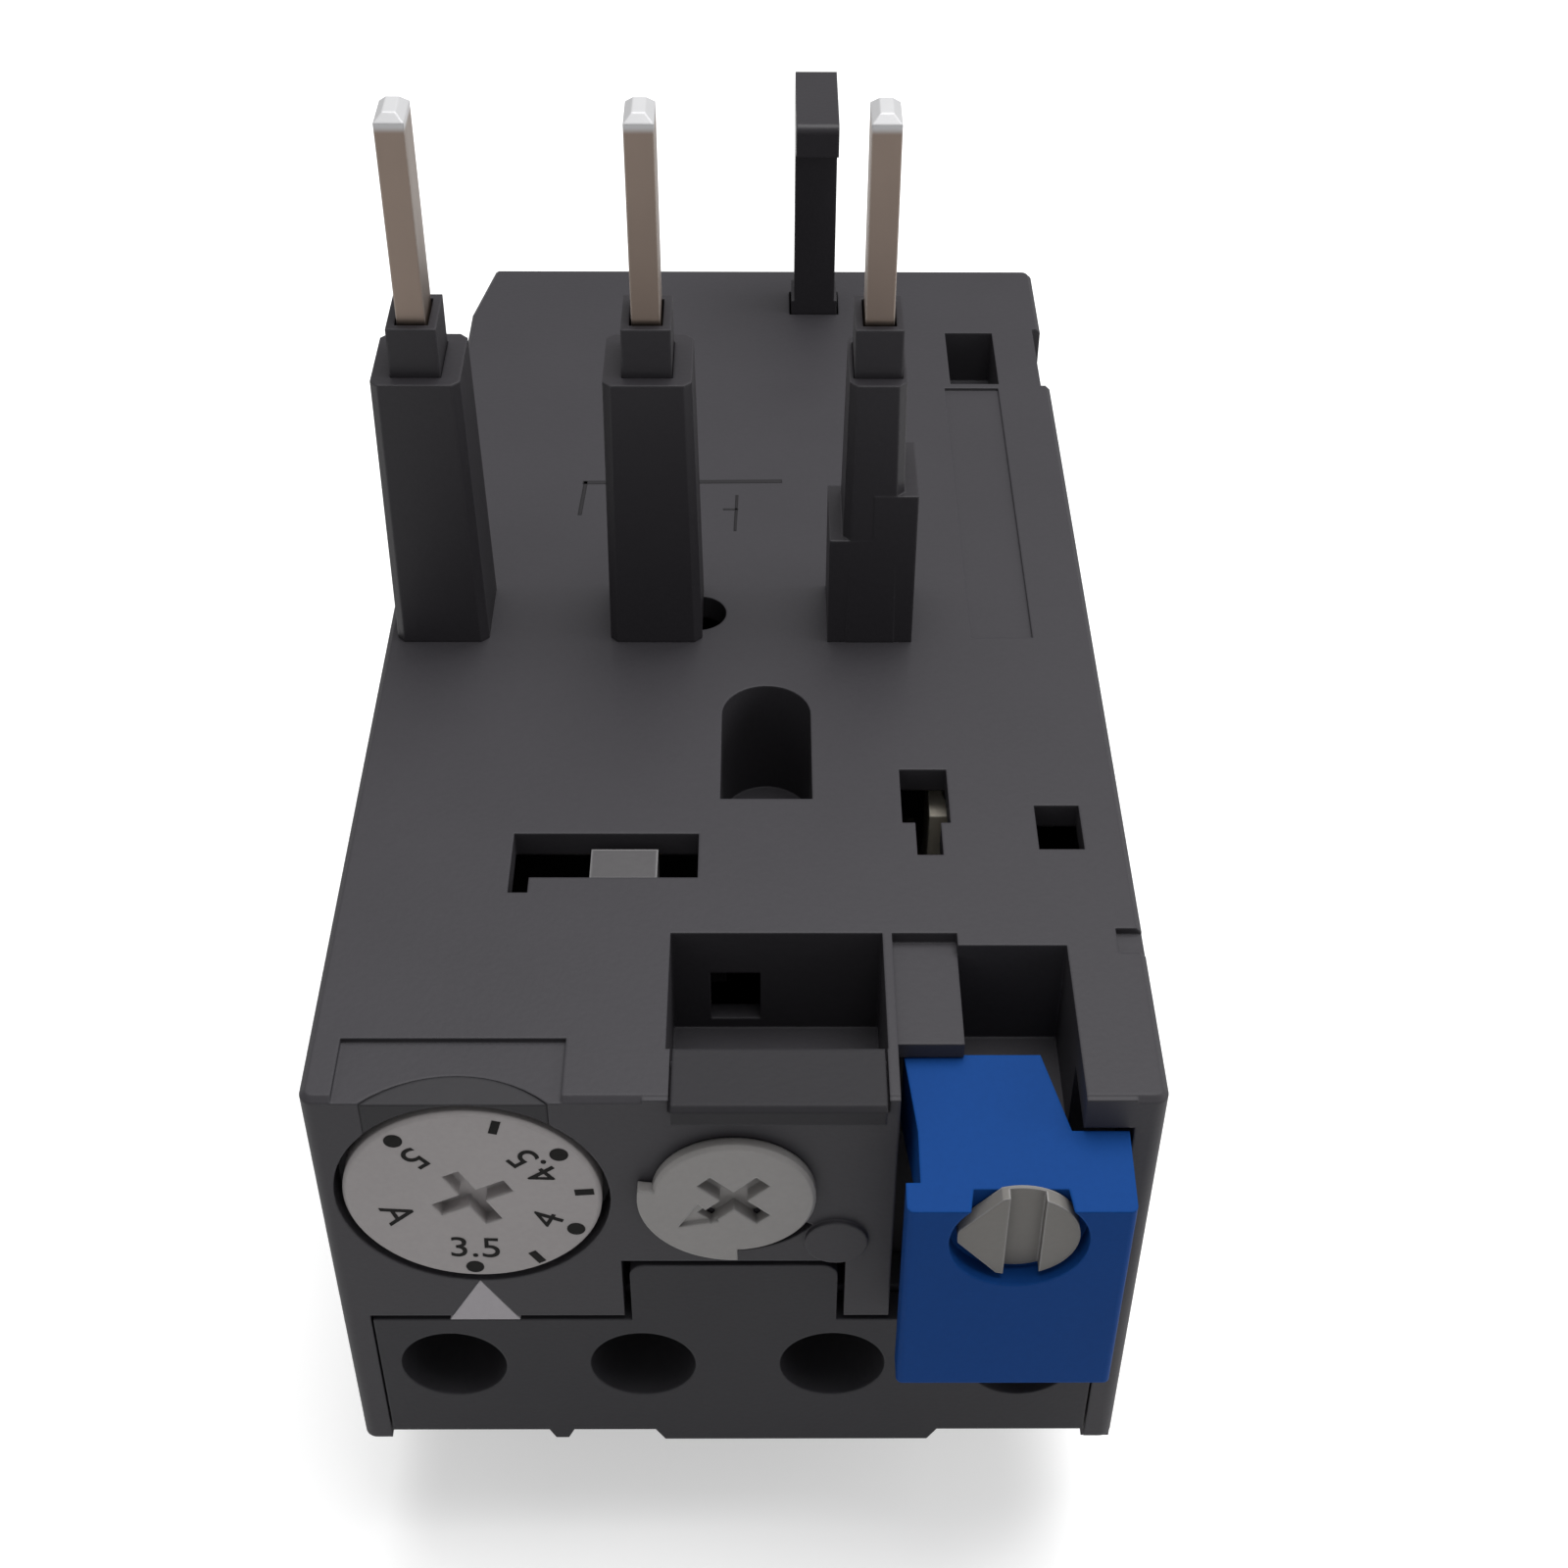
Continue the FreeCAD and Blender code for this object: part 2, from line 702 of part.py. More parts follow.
# ---- Inner frame and auxiliary block ------------------------------------------------
def inner_frame():
    """Cross wall with the slide's guides, and the walls between the heater bays."""
    top = wall + slide_gap
    bottom = seam_drop - slide_gap
    back = divider_depth + inner_wall
    cross = block((slide_gap - inner_half, inner_half - slide_gap), (divider_depth, back),
                  (top, bottom))
    under_pins = pin_foot_drop + pin_foot_thickness + free_gap
    behind_pins = sleeve_front + sleeve_depth + 2 * free_gap
    end = case_depth - wall - slide_gap
    outline = [(back, under_pins), (behind_pins, under_pins), (behind_pins, top), (end, top),
               (end, bottom), (back, bottom)]
    bays = [side_prism(outline, around(x + bay_pitch / 2, inner_wall)) for x in bay_x[:2]]
    guides = [block((x, x + guide_thickness),
                    (divider_depth, slide_depth + slide_thickness + inner_wall),
                    (slide_drop - wall, slide_drop + slide_height + wall))
              for x in slide_guides]
    slide_way = block((-inner_half, inner_half),
                      (slide_depth - slide_gap, slide_depth + slide_thickness + slide_gap),
                      (slide_drop - slide_gap, slide_drop + slide_height + slide_gap))
    tab_window = block((slide_tab_x - free_gap, slide_tab_right + slide_travel + free_gap),
                       (divider_depth, back), (slide_drop, slide_drop + slide_height))
    return join(cross, *bays, *guides).cut([slide_way, tab_window])


def aux_terminal_block():
    """Comb-shaped moulding over and between the auxiliary terminals."""
    span = (slide_gap - inner_half, inner_half - slide_gap)
    back = aux_chamber_back + inner_wall
    ceiling = block(span, (front_wall + slide_gap, back),
                    (deck_drop, deck_drop + deck_thickness))
    back_wall = block(span, (aux_chamber_back, back), (deck_drop, cover_bottom))
    dividers = [block(around(x, aux_wall), (cover_thickness + slide_gap, aux_chamber_back),
                      (deck_drop, cover_bottom)) for x in (-aux_pitch, 0, aux_pitch)]
    slots = [block(around(x, aux_strip_width + 2 * slide_gap),
                   around(aux_strip_depth() + aux_strip_thickness / 2,
                          aux_strip_thickness + 2 * slide_gap),
                   (deck_drop, deck_drop + deck_thickness)) for x in aux_x]
    return join(ceiling, back_wall, *dividers).cut(slots)


# ---- Base: the lower moulding -------------------------------------------------------
def snap_hook(side, face, depth):
    """Upstand of the base along the inside of the case wall, with a hook outwards."""
    near = face - side * slide_gap
    far = near - side * latch_thickness
    tip = near + side * latch_hook
    root = face + side * wall / 2
    foot = seam_drop + 2 * wall
    top = seam_drop - latch_rise
    outline = [(far, foot), (far, top), (near, top), (tip, top + latch_hook_height),
               (near, top + latch_hook_height), (near, seam_drop), (root, seam_drop),
               (root, foot)]
    return front_prism(outline, around(depth, latch_width))


def base():
    """Tray under the heater room, with three main terminal chambers."""
    body = plan_prism(plan_outline(base_front), (seam_drop, body_height))
    corners = [(half_width, case_depth, None), (half_width, base_front, None),
               (-half_width, base_front, None)]
    body = body.makeFillet(corner_radius, corner_edges(body, V(0, 0, 1), corners))
    room = plan_prism(plan_outline(base_front + wall, wall), (seam_drop, body_height - wall))
    bays = [block(around(x + bay_pitch / 2, inner_wall),
                  (base_front + wall, case_depth - wall),
                  (seam_drop, body_height - wall)) for x in bay_x[:2]]
    back_wall = block((-inner_half, inner_half), (main_back_wall, main_back_wall + inner_wall),
                      (seam_drop + wall, body_height - wall))
    body = body.cut(room.cut(bays + [back_wall]))
    cuts = []
    for x in bay_x:
        cuts.append(rod_back(x, main_drop, main_hole_radius, (base_front, base_front + wall)))
        cuts.append(block(around(x, main_mouth_width), main_mouth,
                          (body_height - wall, body_height)))
        cuts.append(block(around(x, bar_width + 2 * slide_gap),
                          (main_back_wall, main_back_wall + inner_wall),
                          (bar_drop - slide_gap, bar_drop + bar_thickness + slide_gap)))
    return join(body.cut(cuts), *[snap_hook(*place) for place in latch_places()])


# ---- Front pieces -------------------------------------------------------------------
def terminal_cover():
    """Cover over the auxiliary terminals, with screwdriver guides and a tab."""
    left, right, top = cover_tab
    side = inner_half - slide_gap
    rib = around(cover_rib_x, cover_rib_width)
    rib_end = cover_bottom + cover_rib_length
    lip_end = cover_bottom + cover_lip_length
    outline = [(-side, cover_bottom), (-side, cover_top), (left, cover_top), (left, top),
               (right, top), (right, cover_top), (side, cover_top), (side, cover_bottom),
               (cover_lip[1] + 0.6, cover_bottom), (cover_lip[1], lip_end),
               (cover_lip[0], lip_end), (cover_lip[0] - 0.6, cover_bottom),
               (rib[1], cover_bottom), (rib[1] - 0.4, rib_end), (rib[0] + 0.4, rib_end),
               (rib[0], cover_bottom)]
    plate = front_prism(outline, (0, cover_thickness))
    tab_corners = corner_edges(plate, V(0, 1, 0), [(left, None, top), (right, None, top)])
    plate = plate.makeFillet(cover_tab_radius, tab_corners)
    sleeves = [block(around(x, 2 * aux_tube_radius),
                     (cover_thickness, cover_thickness + aux_tube_length),
                     around(aux_drop, 2 * aux_tube_radius)) for x in aux_x]
    holes = [rod_back(x, aux_drop, aux_hole_radius,
                      (0, cover_thickness + aux_tube_length)) for x in aux_x]
    return join(plate, *sleeves).cut(holes)


def bridge_strip():
    """Strip along the front top edge, with a lip down the front."""
    x = (bridge_left + slide_gap, bridge_right - slide_gap)
    bottom = bridge_thickness + bridge_bevel
    outline = [(-bridge_lip, bridge_bevel), (bridge_bevel - bridge_lip, 0),
               (bridge_depth, 0), (bridge_depth, bridge_thickness), (0, bridge_thickness),
               (0, bottom), (-bridge_lip, bottom)]
    return side_prism(outline, x)


def setting_pointer_body(thickness, growth=0.0):
    """White triangle under the dial, its tip at the dial's rim."""
    base_drop = cover_top - shaft_gap
    middle = dial_x - pointer_shift
    half = pointer_width / 2 + growth
    outline = [(middle - half, base_drop), (middle, base_drop - pointer_height - growth),
               (middle + half, base_drop)]
    return front_prism(outline, (0, thickness))


def setting_dial():
    """Disc of the setting dial, with a cross slot."""
    disc = rod_back(dial_x, dial_drop, dial_radius,
                    (-dial_proud, dial_thickness - dial_proud))
    rim = [edge for edge in disc.Edges
           if abs(edge.CenterOfMass.y - front_y + dial_proud) < 0.01
           and edge.Curve.TypeId == "Part::GeomCircle"]
    disc = disc.makeChamfer(rim_bevel, rim)
    return disc.cut(cross_slot(dial_x, dial_drop, -dial_proud, dial_slot, -27))


def setting_cam():
    """Shaft behind the dial, with an eccentric end that sets the trip point."""
    back = dial_thickness - dial_proud
    shaft = rod_back(dial_x, dial_drop, dial_shaft_radius, (back, cam_start))
    cam = rod_back(dial_x + cam_offset, dial_drop, cam_radius,
                   (cam_start, cam_start + cam_length))
    return join(shaft, cam)


def test_knob():
    """Knob with a stepped rim, a cross slot, an arrow, a hub and a finger behind."""
    face = -test_proud
    back = face + test_thickness
    disc = rod_back(test_x, test_drop, test_radius, (face, back))
    centre = V(test_x, front_y + face, top_z - test_drop)
    sector = Part.makeCylinder(test_sector_radius, test_thickness, centre, V(0, 1, 0),
                               test_sector_sweep)
    shift = test_sector_angle(sector, centre)
    sector.rotate(centre, V(0, 1, 0), shift)
    rim = [edge for edge in disc.Edges
           if abs(edge.CenterOfMass.y - front_y - face) < 0.01
           and edge.Curve.TypeId == "Part::GeomCircle"]
    disc = join(disc.makeChamfer(rim_bevel, rim), sector)
    hub = rod_back(test_x, test_drop, test_hub_radius, (back, test_hub_length))
    angle = math.radians(test_sector_start + test_sector_sweep)
    finger = rod_back(test_x + test_finger_orbit * math.cos(angle),
                      test_drop - test_finger_orbit * math.sin(angle),
                      test_finger_radius, (back, test_finger_end))
    knob = join(disc, hub, finger)
    return knob.cut([cross_slot(test_x, test_drop, face, test_slot, 45), test_arrow(face)])


def test_sector_angle(sector, centre):
    """Turn about +Y that brings a new sector to where the step lies on the real knob."""
    middle = sector.CenterOfMass - centre
    now = math.degrees(math.atan2(-middle.z, middle.x))
    wanted = -(test_sector_start + test_sector_sweep / 2)
    return wanted - now


def test_arrow(face):
    """Shallow arrow pressed into the knob, from the slot towards the step."""
    base, tip = arrow_reach
    outline = [(tip, 0), (base, arrow_half_width), (base, -arrow_half_width)]
    arrow = front_prism([(test_x + x, test_drop + drop) for x, drop in outline],
                        (face, face + arrow_depth))
    arrow.rotate(V(test_x, 0, top_z - test_drop), V(0, 1, 0), arrow_turn)
    return arrow


# ---- Reset button -------------------------------------------------------------------
def reset_button():
    """Blue push button: sloping head, neck under the top face and a guide stem."""
    face = -reset_reach
    slope_end = reset_crease - reset_slope * (reset_neck_back - face)
    side = [(face, reset_bottom), (face, reset_crease), (reset_neck_back, slope_end),
            (reset_neck_back, reset_bottom)]
    wedge = side_prism(side, (reset_left - 1, reset_right))
    head_plan = [(reset_left, face), (reset_right, face), (reset_right, reset_head_back),
                 (reset_neck_left, reset_head_back), (reset_neck_left, face + reset_flange),
                 (reset_left, face + reset_flange)]
    head = wedge.common(plan_prism(head_plan, (0, reset_bottom)))
    head = head.makeFillet(0.4, corner_edges(head, V(0, 0, 1), [(reset_left, face, None),
                                                                (reset_right, face, None)]))
    neck_plan = [(reset_neck_left, 0), (reset_neck_right, 0),
                 (reset_neck_right - reset_neck_taper, reset_neck_back),
                 (reset_neck_left - 0.6, reset_neck_back)]
    neck = wedge.common(plan_prism(neck_plan, (0, reset_neck_bottom)))
    stem = block(around(stem_x, stem_width), (0, stem_end), (stem_top, stem_top + stem_height))
    button = join(head, neck, stem)
    pocket = rod_back(selector_x, selector_drop, selector_pocket_radius,
                      (face, face + selector_pocket_depth))
    shaft_end = face + selector_pocket_depth + selector_shaft_length
    bore = rod_back(selector_x, selector_drop, selector_shaft_radius + shaft_gap,
                    (face, shaft_end + slide_gap))
    spring_bore = rod_back(stem_x, stem_top + stem_height / 2, spring_bore_radius,
                           (stem_end - spring_bore_length, stem_end))
    hollow = block((reset_neck_left + wall, reset_right - wall),
                   (face + wall, reset_head_back),
                   (stem_top + stem_height + inner_wall, reset_bottom - wall))
    return button.cut([pocket, bore, spring_bore, hollow])


def reset_spring():
    """Coil spring behind the button, at the length that it has when the button is in."""
    free_end = stem_end - spring_bore_length + reset_travel + slide_gap
    length = spring_seat - free_end - 2 * spring_wire
    pitch = length / spring_turns
    helix = Part.makeHelix(pitch, length, spring_radius)
    section = Part.Wire(Part.makePolygon([
        V(spring_radius - spring_wire, 0, -spring_wire),
        V(spring_radius + spring_wire, 0, -spring_wire),
        V(spring_radius + spring_wire, 0, spring_wire),
        V(spring_radius - spring_wire, 0, spring_wire),
        V(spring_radius - spring_wire, 0, -spring_wire)]))
    coil = Part.Wire(helix).makePipeShell([section], True, True)
    coil.rotate(V(0, 0, 0), V(1, 0, 0), -90)
    coil.translate(V(stem_x, front_y + free_end + spring_wire,
                     top_z - stem_top - stem_height / 2))
    return coil


def selector_knob():
    """White half-turn knob: round on one side, pointed on the other, slotted across."""
    face = -reset_reach + selector_recess
    seat = -reset_reach + selector_pocket_depth - 0.1
    disc = rod_back(selector_x, selector_drop, selector_radius, (face, seat))
    nose_x = selector_x - selector_radius
    trim_top = front_prism([(nose_x - 1, selector_drop - selector_radius - 1),
                            (selector_x - 1.1, selector_drop - selector_radius - 1),
                            (selector_x - 1.1, selector_drop - selector_radius + 0.2),
                            (nose_x, selector_drop - 0.45),
                            (nose_x - 1, selector_drop - 0.45)], (face, seat))
    trim_bottom = trim_top.mirror(V(0, 0, top_z - selector_drop), V(0, 0, 1))
    shaft = rod_back(selector_x, selector_drop, selector_shaft_radius,
                     (seat, -reset_reach + selector_pocket_depth + selector_shaft_length))
    slot = block(around(selector_x + selector_slot_shift, selector_slot_width),
                 (face, face + selector_slot_depth),
                 around(selector_drop, 3 * selector_radius))
    return join(disc.cut([trim_top, trim_bottom, slot]), shaft)


# ---- Terminals ----------------------------------------------------------------------
def aux_strip_depth():
    """Depth of the auxiliary strips' front faces."""
    return aux_head_start + aux_head_length + aux_clamp_thickness + aux_wire_gap


def screw(x, drop, head_radius, head, shank_radius, end):
    """Slotted terminal screw; head is the pair of depths of its head."""
    body = join(rod_back(x, drop, head_radius, head),
                rod_back(x, drop, shank_radius, (head[1], end)))
    slot = block(around(x, 2.2 * head_radius), (head[0], head[0] + 1.0), around(drop, 0.9))
    slot.rotate(V(x, 0, top_z - drop), V(0, 1, 0), 30)
    return body.cut(slot)


def aux_screw(x):
    """Screw of an auxiliary terminal."""
    head = (aux_head_start, aux_head_start + aux_head_length)
    return screw(x, aux_drop, aux_head_radius, head, aux_shank_radius, aux_screw_end)


def main_screw(x):
    """Screw of a main terminal."""
    head = (main_head_start, main_head_start + main_head_length)
    return screw(x, main_drop, main_head_radius, head, main_shank_radius, main_screw_end)


def clamp(x, drop, start, size, shank_radius):
    """Clamping plate under a screw head, slotted for it, with a turned lip each side."""
    width, thickness, height = size
    plate = block(around(x, width), (start, start + thickness), around(drop, height))
    lips = [block(side, (start - 0.8, start), around(drop, height))
            for side in ((x - width / 2, x - width / 2 + 0.8),
                         (x + width / 2 - 0.8, x + width / 2))]
    slot = block(around(x, 2 * (shank_radius + slide_gap)), (start, start + thickness),
                 (drop - shank_radius - slide_gap, drop + height))
    return join(plate, *lips).cut(slot)


def aux_clamp(x):
    """Clamping plate of an auxiliary terminal."""
    size = (aux_clamp_width, aux_clamp_thickness, aux_clamp_height)
    return clamp(x, aux_drop, aux_head_start + aux_head_length, size, aux_shank_radius)


def main_clamp(x):
    """Clamping plate of a main terminal."""
    size = (main_clamp_width, main_clamp_thickness, main_clamp_height)
    return clamp(x, main_drop, main_head_start + main_head_length, size, main_shank_radius)


def aux_strip(x, post_x, tip_x, tip_depth):
    """Contact strip: terminal plate, leg over the deck, post and contact tip."""
    front = aux_strip_depth()
    thick = aux_strip_thickness
    leg = (contact_leg_drop, contact_leg_drop + thick)
    plate = block(around(x, aux_strip_width), (front, front + thick),
                  (contact_leg_drop, aux_strip_bottom))
    hole = rod_back(x, aux_drop, aux_shank_radius + 0.02, (front, front + thick))
    run_x = around(x, 1.2)
    reach = around(tip_depth, contact_post_width)
    back_run = block(run_x, (front, reach[1]), leg)
    side_run = block((min(run_x[0], post_x), max(run_x[1], post_x + thick)), reach, leg)
    post = block((post_x, post_x + thick), reach,
                 (contact_tip_drop - contact_tip_half, contact_leg_drop + thick))
    tip = block(tip_x, around(tip_depth, 2 * contact_tip_half),
                around(contact_tip_drop, 2 * contact_tip_half))
    return join(plate, back_run, side_run, post, tip).cut(hole)


def aux_strips():
    """The four strips: the closed pair on the left, the open pair on the right."""
    closed_tip = closed_blade_x + blade_thickness + shaft_gap
    closed_post = closed_tip + contact_tip_length
    open_tip = open_blade_x - carrier_travel - shaft_gap
    open_post = open_tip - contact_tip_length - aux_strip_thickness
    closed_span = (closed_tip, closed_post)
    open_span = (open_tip - contact_tip_length, open_tip)
    return [aux_strip(aux_x[0], closed_post, closed_span, contact_front_depth),
            aux_strip(aux_x[1], closed_post, closed_span, contact_rear_depth),
            aux_strip(aux_x[2], open_post, open_span, contact_front_depth),
            aux_strip(aux_x[3], open_post, open_span, contact_rear_depth)]


def load_bar(x):
    """Conductor from a bimetal's foot down and forward to the main terminal."""
    plate_front = main_head_start + main_head_length + main_clamp_thickness + main_wire_gap
    plate = block(around(x, main_plate_width), (plate_front, plate_front
                                                + main_plate_thickness),
                  (bar_drop, main_plate_bottom))
    run = block(around(x, bar_width), (plate_front, bar_back),
                (bar_drop, bar_drop + bar_thickness))
    side = x + bimetal_thickness / 2
    post = block((side, side + bar_thickness), (post_front, bar_back),
                 (post_top, bar_drop + bar_thickness))
    hole = rod_back(x, main_drop, main_shank_radius + 0.02,
                    (plate_front, plate_front + main_plate_thickness))
    return join(plate, run, post).cut(hole)


# ---- Heaters ------------------------------------------------------------------------
def bimetal(x):
    """Bimetal strip, welded at the back, free at the front."""
    return block(around(x, bimetal_thickness), (bimetal_front, bimetal_back),
                 (bimetal_drop, bimetal_drop + bimetal_height))


def heater(x):
    """Flat ribbon wound round a bimetal, with a lead at each end."""
    top, bottom = heater_drop
    left = x - heater_half_width
    right = x + heater_half_width
    turns = []
    for i in range(heater_turns):
        depth = heater_start + i * heater_pitch
        middle = depth + heater_pitch / 2
        turns.append(block((left, left + ribbon_thickness), (depth, depth + ribbon_width),
                           (top, bottom)))
        turns.append(sloping_ribbon((left, right), depth, middle,
                                    (bottom - ribbon_thickness, bottom)))
        turns.append(block((right - ribbon_thickness, right),
                           (middle, middle + ribbon_width), (top, bottom)))
        if i < heater_turns - 1:
            turns.append(sloping_ribbon((left, right), depth + heater_pitch, middle,
                                        (top, top + ribbon_thickness)))
    last = heater_start + (heater_turns - 0.5) * heater_pitch
    foot_bottom = pin_foot_drop + pin_foot_thickness
    front_lead = join(block((left, left + ribbon_thickness),
                            (heater_start, heater_start + ribbon_width),
                            (foot_bottom, top)),
                      block((left, x + pin_foot_width / 2),
                            (heater_start, heater_start + ribbon_width),
                            (foot_bottom, foot_bottom + ribbon_thickness)))
    side = x + bimetal_thickness / 2
    rear_lead = join(block((side, right), (last, last + ribbon_width),
                           (top, top + ribbon_thickness)),
                     block((side, side + bar_thickness), (last, post_front),
                           (top, top + ribbon_thickness)),
                     block((side, side + bar_thickness),
                           (post_front - ribbon_thickness, post_front),
                           (top, post_top + wall)))
    return join(*turns, front_lead, rear_lead)


def sloping_ribbon(x, left_depth, right_depth, drop):
    """Ribbon across the winding, from one depth at the left to another at the right."""
    outline = [(x[0], left_depth), (x[0], left_depth + ribbon_width),
               (x[1], right_depth + ribbon_width), (x[1], right_depth)]
    return plan_prism(outline, drop)


# ---- Pins, sleeves and hook ---------------------------------------------------------
def line_pin(pole):
    """Line pin with a bevelled tip and a foot that runs to its heater bay."""
    x = pole_x[pole]
    bay = bay_x[pole]
    foot_bottom = pin_foot_drop + pin_foot_thickness
    depth = (pin_front, pin_front + pin_depth)
    pin = block(around(x, pin_width), depth, (-pin_rise, foot_bottom))
    tip = [edge for edge in pin.Edges if abs(edge.BoundBox.ZMin - top_z - pin_rise) < 0.001]
    pin = pin.makeChamfer(pin_tip_bevel, tip)
    outline = [(x - pin_width / 2, depth[0]), (bay + pin_foot_width / 2, depth[0]),
               (bay + pin_foot_width / 2, pin_foot_end),
               (bay - pin_foot_width / 2, pin_foot_end),
               (bay - pin_foot_width / 2, depth[1]), (x - pin_width / 2, depth[1])]
    return join(pin, plan_prism(outline, (pin_foot_drop, foot_bottom)))


def tapered_block(x, depth, low, high, drop):
    """Upright block whose (width, depth) changes from low to high."""
    height = drop[1] - drop[0]
    body = Part.makeWedge(-low[0] / 2, 0, -low[1] / 2, -high[1] / 2, -high[0] / 2,
                          low[0] / 2, height, low[1] / 2, high[1] / 2, high[0] / 2)
    body.rotate(V(0, 0, 0), V(1, 0, 0), 90)
    body.translate(V(x, front_y + depth, top_z - drop[1]))
    return body


def inner_sleeve_size(pole):
    """Outside width and depth of the inner sleeve: it leaves a wall of the outer one."""
    width, depth = (size + 2 * inner_sleeve_wall for size in inner_hole)
    return min(width, sleeve_widths[pole] - 2 * sleeve_draft - 2 * slide_gap), depth


def inner_sleeve(pole):
    """Inner sleeve round a pin; it stands a little above the outer one."""
    x = pole_x[pole]
    middle = sleeve_front + sleeve_depth / 2
    width, depth = inner_sleeve_size(pole)
    drop = (-inner_sleeve_rise, wall)
    body = block(around(x, width), around(middle, depth), drop)
    hole = block(around(x, inner_hole[0]), around(middle, inner_hole[1]), drop)
    return body.cut(hole)


def outer_sleeve(pole):
    """Black outer sleeve: tapered, with a spigot and a flange under the top wall."""
    x = pole_x[pole]
    middle = sleeve_front + sleeve_depth / 2
    width = sleeve_widths[pole]
    foot_width = sleeve_feet[pole]
    body = tapered_block(x, middle, (width + sleeve_draft, sleeve_depth + sleeve_draft),
                         (width - sleeve_draft, sleeve_depth), (-sleeve_rise, 0))
    body = body.makeChamfer(0.5, [edge for edge in body.Edges
                                  if edge.BoundBox.ZLength > sleeve_rise / 2])
    flange_left = max(x - foot_width / 2, slide_gap - inner_half)
    spigot = block((flange_left + sleeve_flange, x + foot_width / 2 - sleeve_flange),
                   around(middle, sleeve_depth - 2 * sleeve_flange), (0, wall + shaft_gap))
    flange = block((flange_left, x + foot_width / 2), around(middle, sleeve_depth),
                   (wall + shaft_gap, wall + shaft_gap + sleeve_flange_thickness))
    parts = [spigot, flange]
    if width < foot_width:
        parts.append(block((x - foot_width / 2, x), around(middle, sleeve_depth + 0.2),
                           (-collar_rise_left, 0)))
        parts.append(block((x, x + foot_width / 2), around(middle, sleeve_depth + 0.2),
                           (-collar_rise_right, 0)))
    inner_width, inner_depth = inner_sleeve_size(pole)
    hole = block(around(x, inner_width + 2 * shaft_gap),
                 around(middle, inner_depth + 2 * shaft_gap),
                 (-sleeve_rise, wall + shaft_gap + sleeve_flange_thickness))
    return join(body, *parts).cut(hole)


def mounting_hook():
    """Hook that catches the contactor: stem, forward nose and rounded tail."""
    back = hook_front + hook_thickness
    top = -hook_rise
    under = top + hook_lip
    nose = hook_front - hook_nose
    tail = hook_front + hook_tail
    outline = [(hook_front, 0), (hook_front, under + hook_nose_rise), (nose, under),
               (nose, top), (tail, top), (tail, under), (back, under + hook_tail_rise),
               (back, 0)]
    hook = side_prism(outline, around(hook_x, hook_width))
    bends = corner_edges(hook, V(1, 0, 0), [(None, tail, top), (None, tail, under),
                                            (None, back, under + hook_tail_rise),
                                            (None, nose, top)])
    hook = hook.makeFillet(hook_bend_radius, bends)
    spread = around(hook_x, hook_foot_width)
    flange_length, flange_thickness = hook_flange
    foot = block(spread, (hook_front, back), (-hook_collar_rise, wall + shaft_gap))
    flange = block(spread,
                   (hook_front - flange_length,
                    min(back + flange_length, case_depth - wall - slide_gap)),
                   (wall + shaft_gap, wall + shaft_gap + flange_thickness))
    return join(hook, foot, flange)


# ---- Trip mechanism -----------------------------------------------------------------
def trip_slide():
    """Bar across the heater room with a finger beside each bimetal and a tab forward."""
    drop = (slide_drop, slide_drop + slide_height)
    back = slide_depth + slide_thickness
    parts = [block((slide_left, slide_right), (slide_depth, back), drop)]
    for x in bay_x:
        side = x + bimetal_thickness / 2 + 2 * slide_gap
        parts.append(block((side, side + finger_thickness), (back, back + finger_length),
                           drop))
    parts.append(block((slide_tab_x, slide_tab_right), (slide_tab_front, slide_depth),
                       (slide_drop + 0.5, slide_drop + slide_height - 0.5)))
    return join(*parts)


def trip_lever():
    """Lever on the pivot, with an arm to the contact carrier and a lug for its strip."""
    drop = (lever_top, lever_bottom)
    hub = block(around(pivot_x, 2 * lever_hub_radius),
                around(pivot_depth, 2 * lever_hub_radius), drop)
    arm = block(around(pivot_x, lever_arm_width), (pivot_depth - lever_arm_reach, pivot_depth),
                (lever_top, lever_top + carrier_height - 0.5))
    lug_left = compensation_left() + strip_thickness
    lug = block((lug_left, pivot_x), (pivot_depth, pivot_depth + strip_lug_reach),
                (slide_drop, lever_bottom))
    bore = rod_down(pivot_x, pivot_depth, pivot_radius + shaft_gap, drop)
    return join(hub, arm, lug).cut(bore)


def compensation_left():
    """Left face of the compensating strip, just clear of the slide's tab."""
    return slide_tab_right + 2 * slide_gap - shaft_gap


def compensation_strip():
    """Bimetal strip on the lever, which the trip slide pushes."""
    left = compensation_left()
    return block((left, left + strip_thickness),
                 (pivot_depth + strip_start, pivot_depth + strip_reach),
                 (slide_drop + 0.5, slide_drop + slide_height - 0.5))


def pivot_clip():
    """Push-on clip on the pivot that holds the lever."""
    drop = (lever_bottom + shaft_gap, lever_bottom + 0.7)
    plate = block(around(pivot_x, 2 * lever_hub_radius),
                  around(pivot_depth, 2 * lever_hub_radius), drop)
    mouth = block(around(pivot_x, 2 * pivot_radius + 0.02),
                  (pivot_depth - pivot_radius - 0.01, pivot_depth + 2 * lever_hub_radius), drop)
    return plate.cut(mouth)


def contact_carrier():
    """Sliding carrier with a light tab in the top window and a lug for each blade."""
    depth = (carrier_depth, carrier_depth + carrier_width)
    bottom = carrier_drop + carrier_height
    parts = [block((carrier_left, carrier_right), depth, (carrier_drop, bottom)),
             block(carrier_tab, depth, (carrier_tab_top, carrier_drop))]
    for x in (closed_blade_x, open_blade_x):
        left = x + blade_thickness
        parts.append(block((left, left + carrier_lug_width), depth,
                           (carrier_drop, contact_tip_drop + blade_height / 2)))
    return join(*parts)


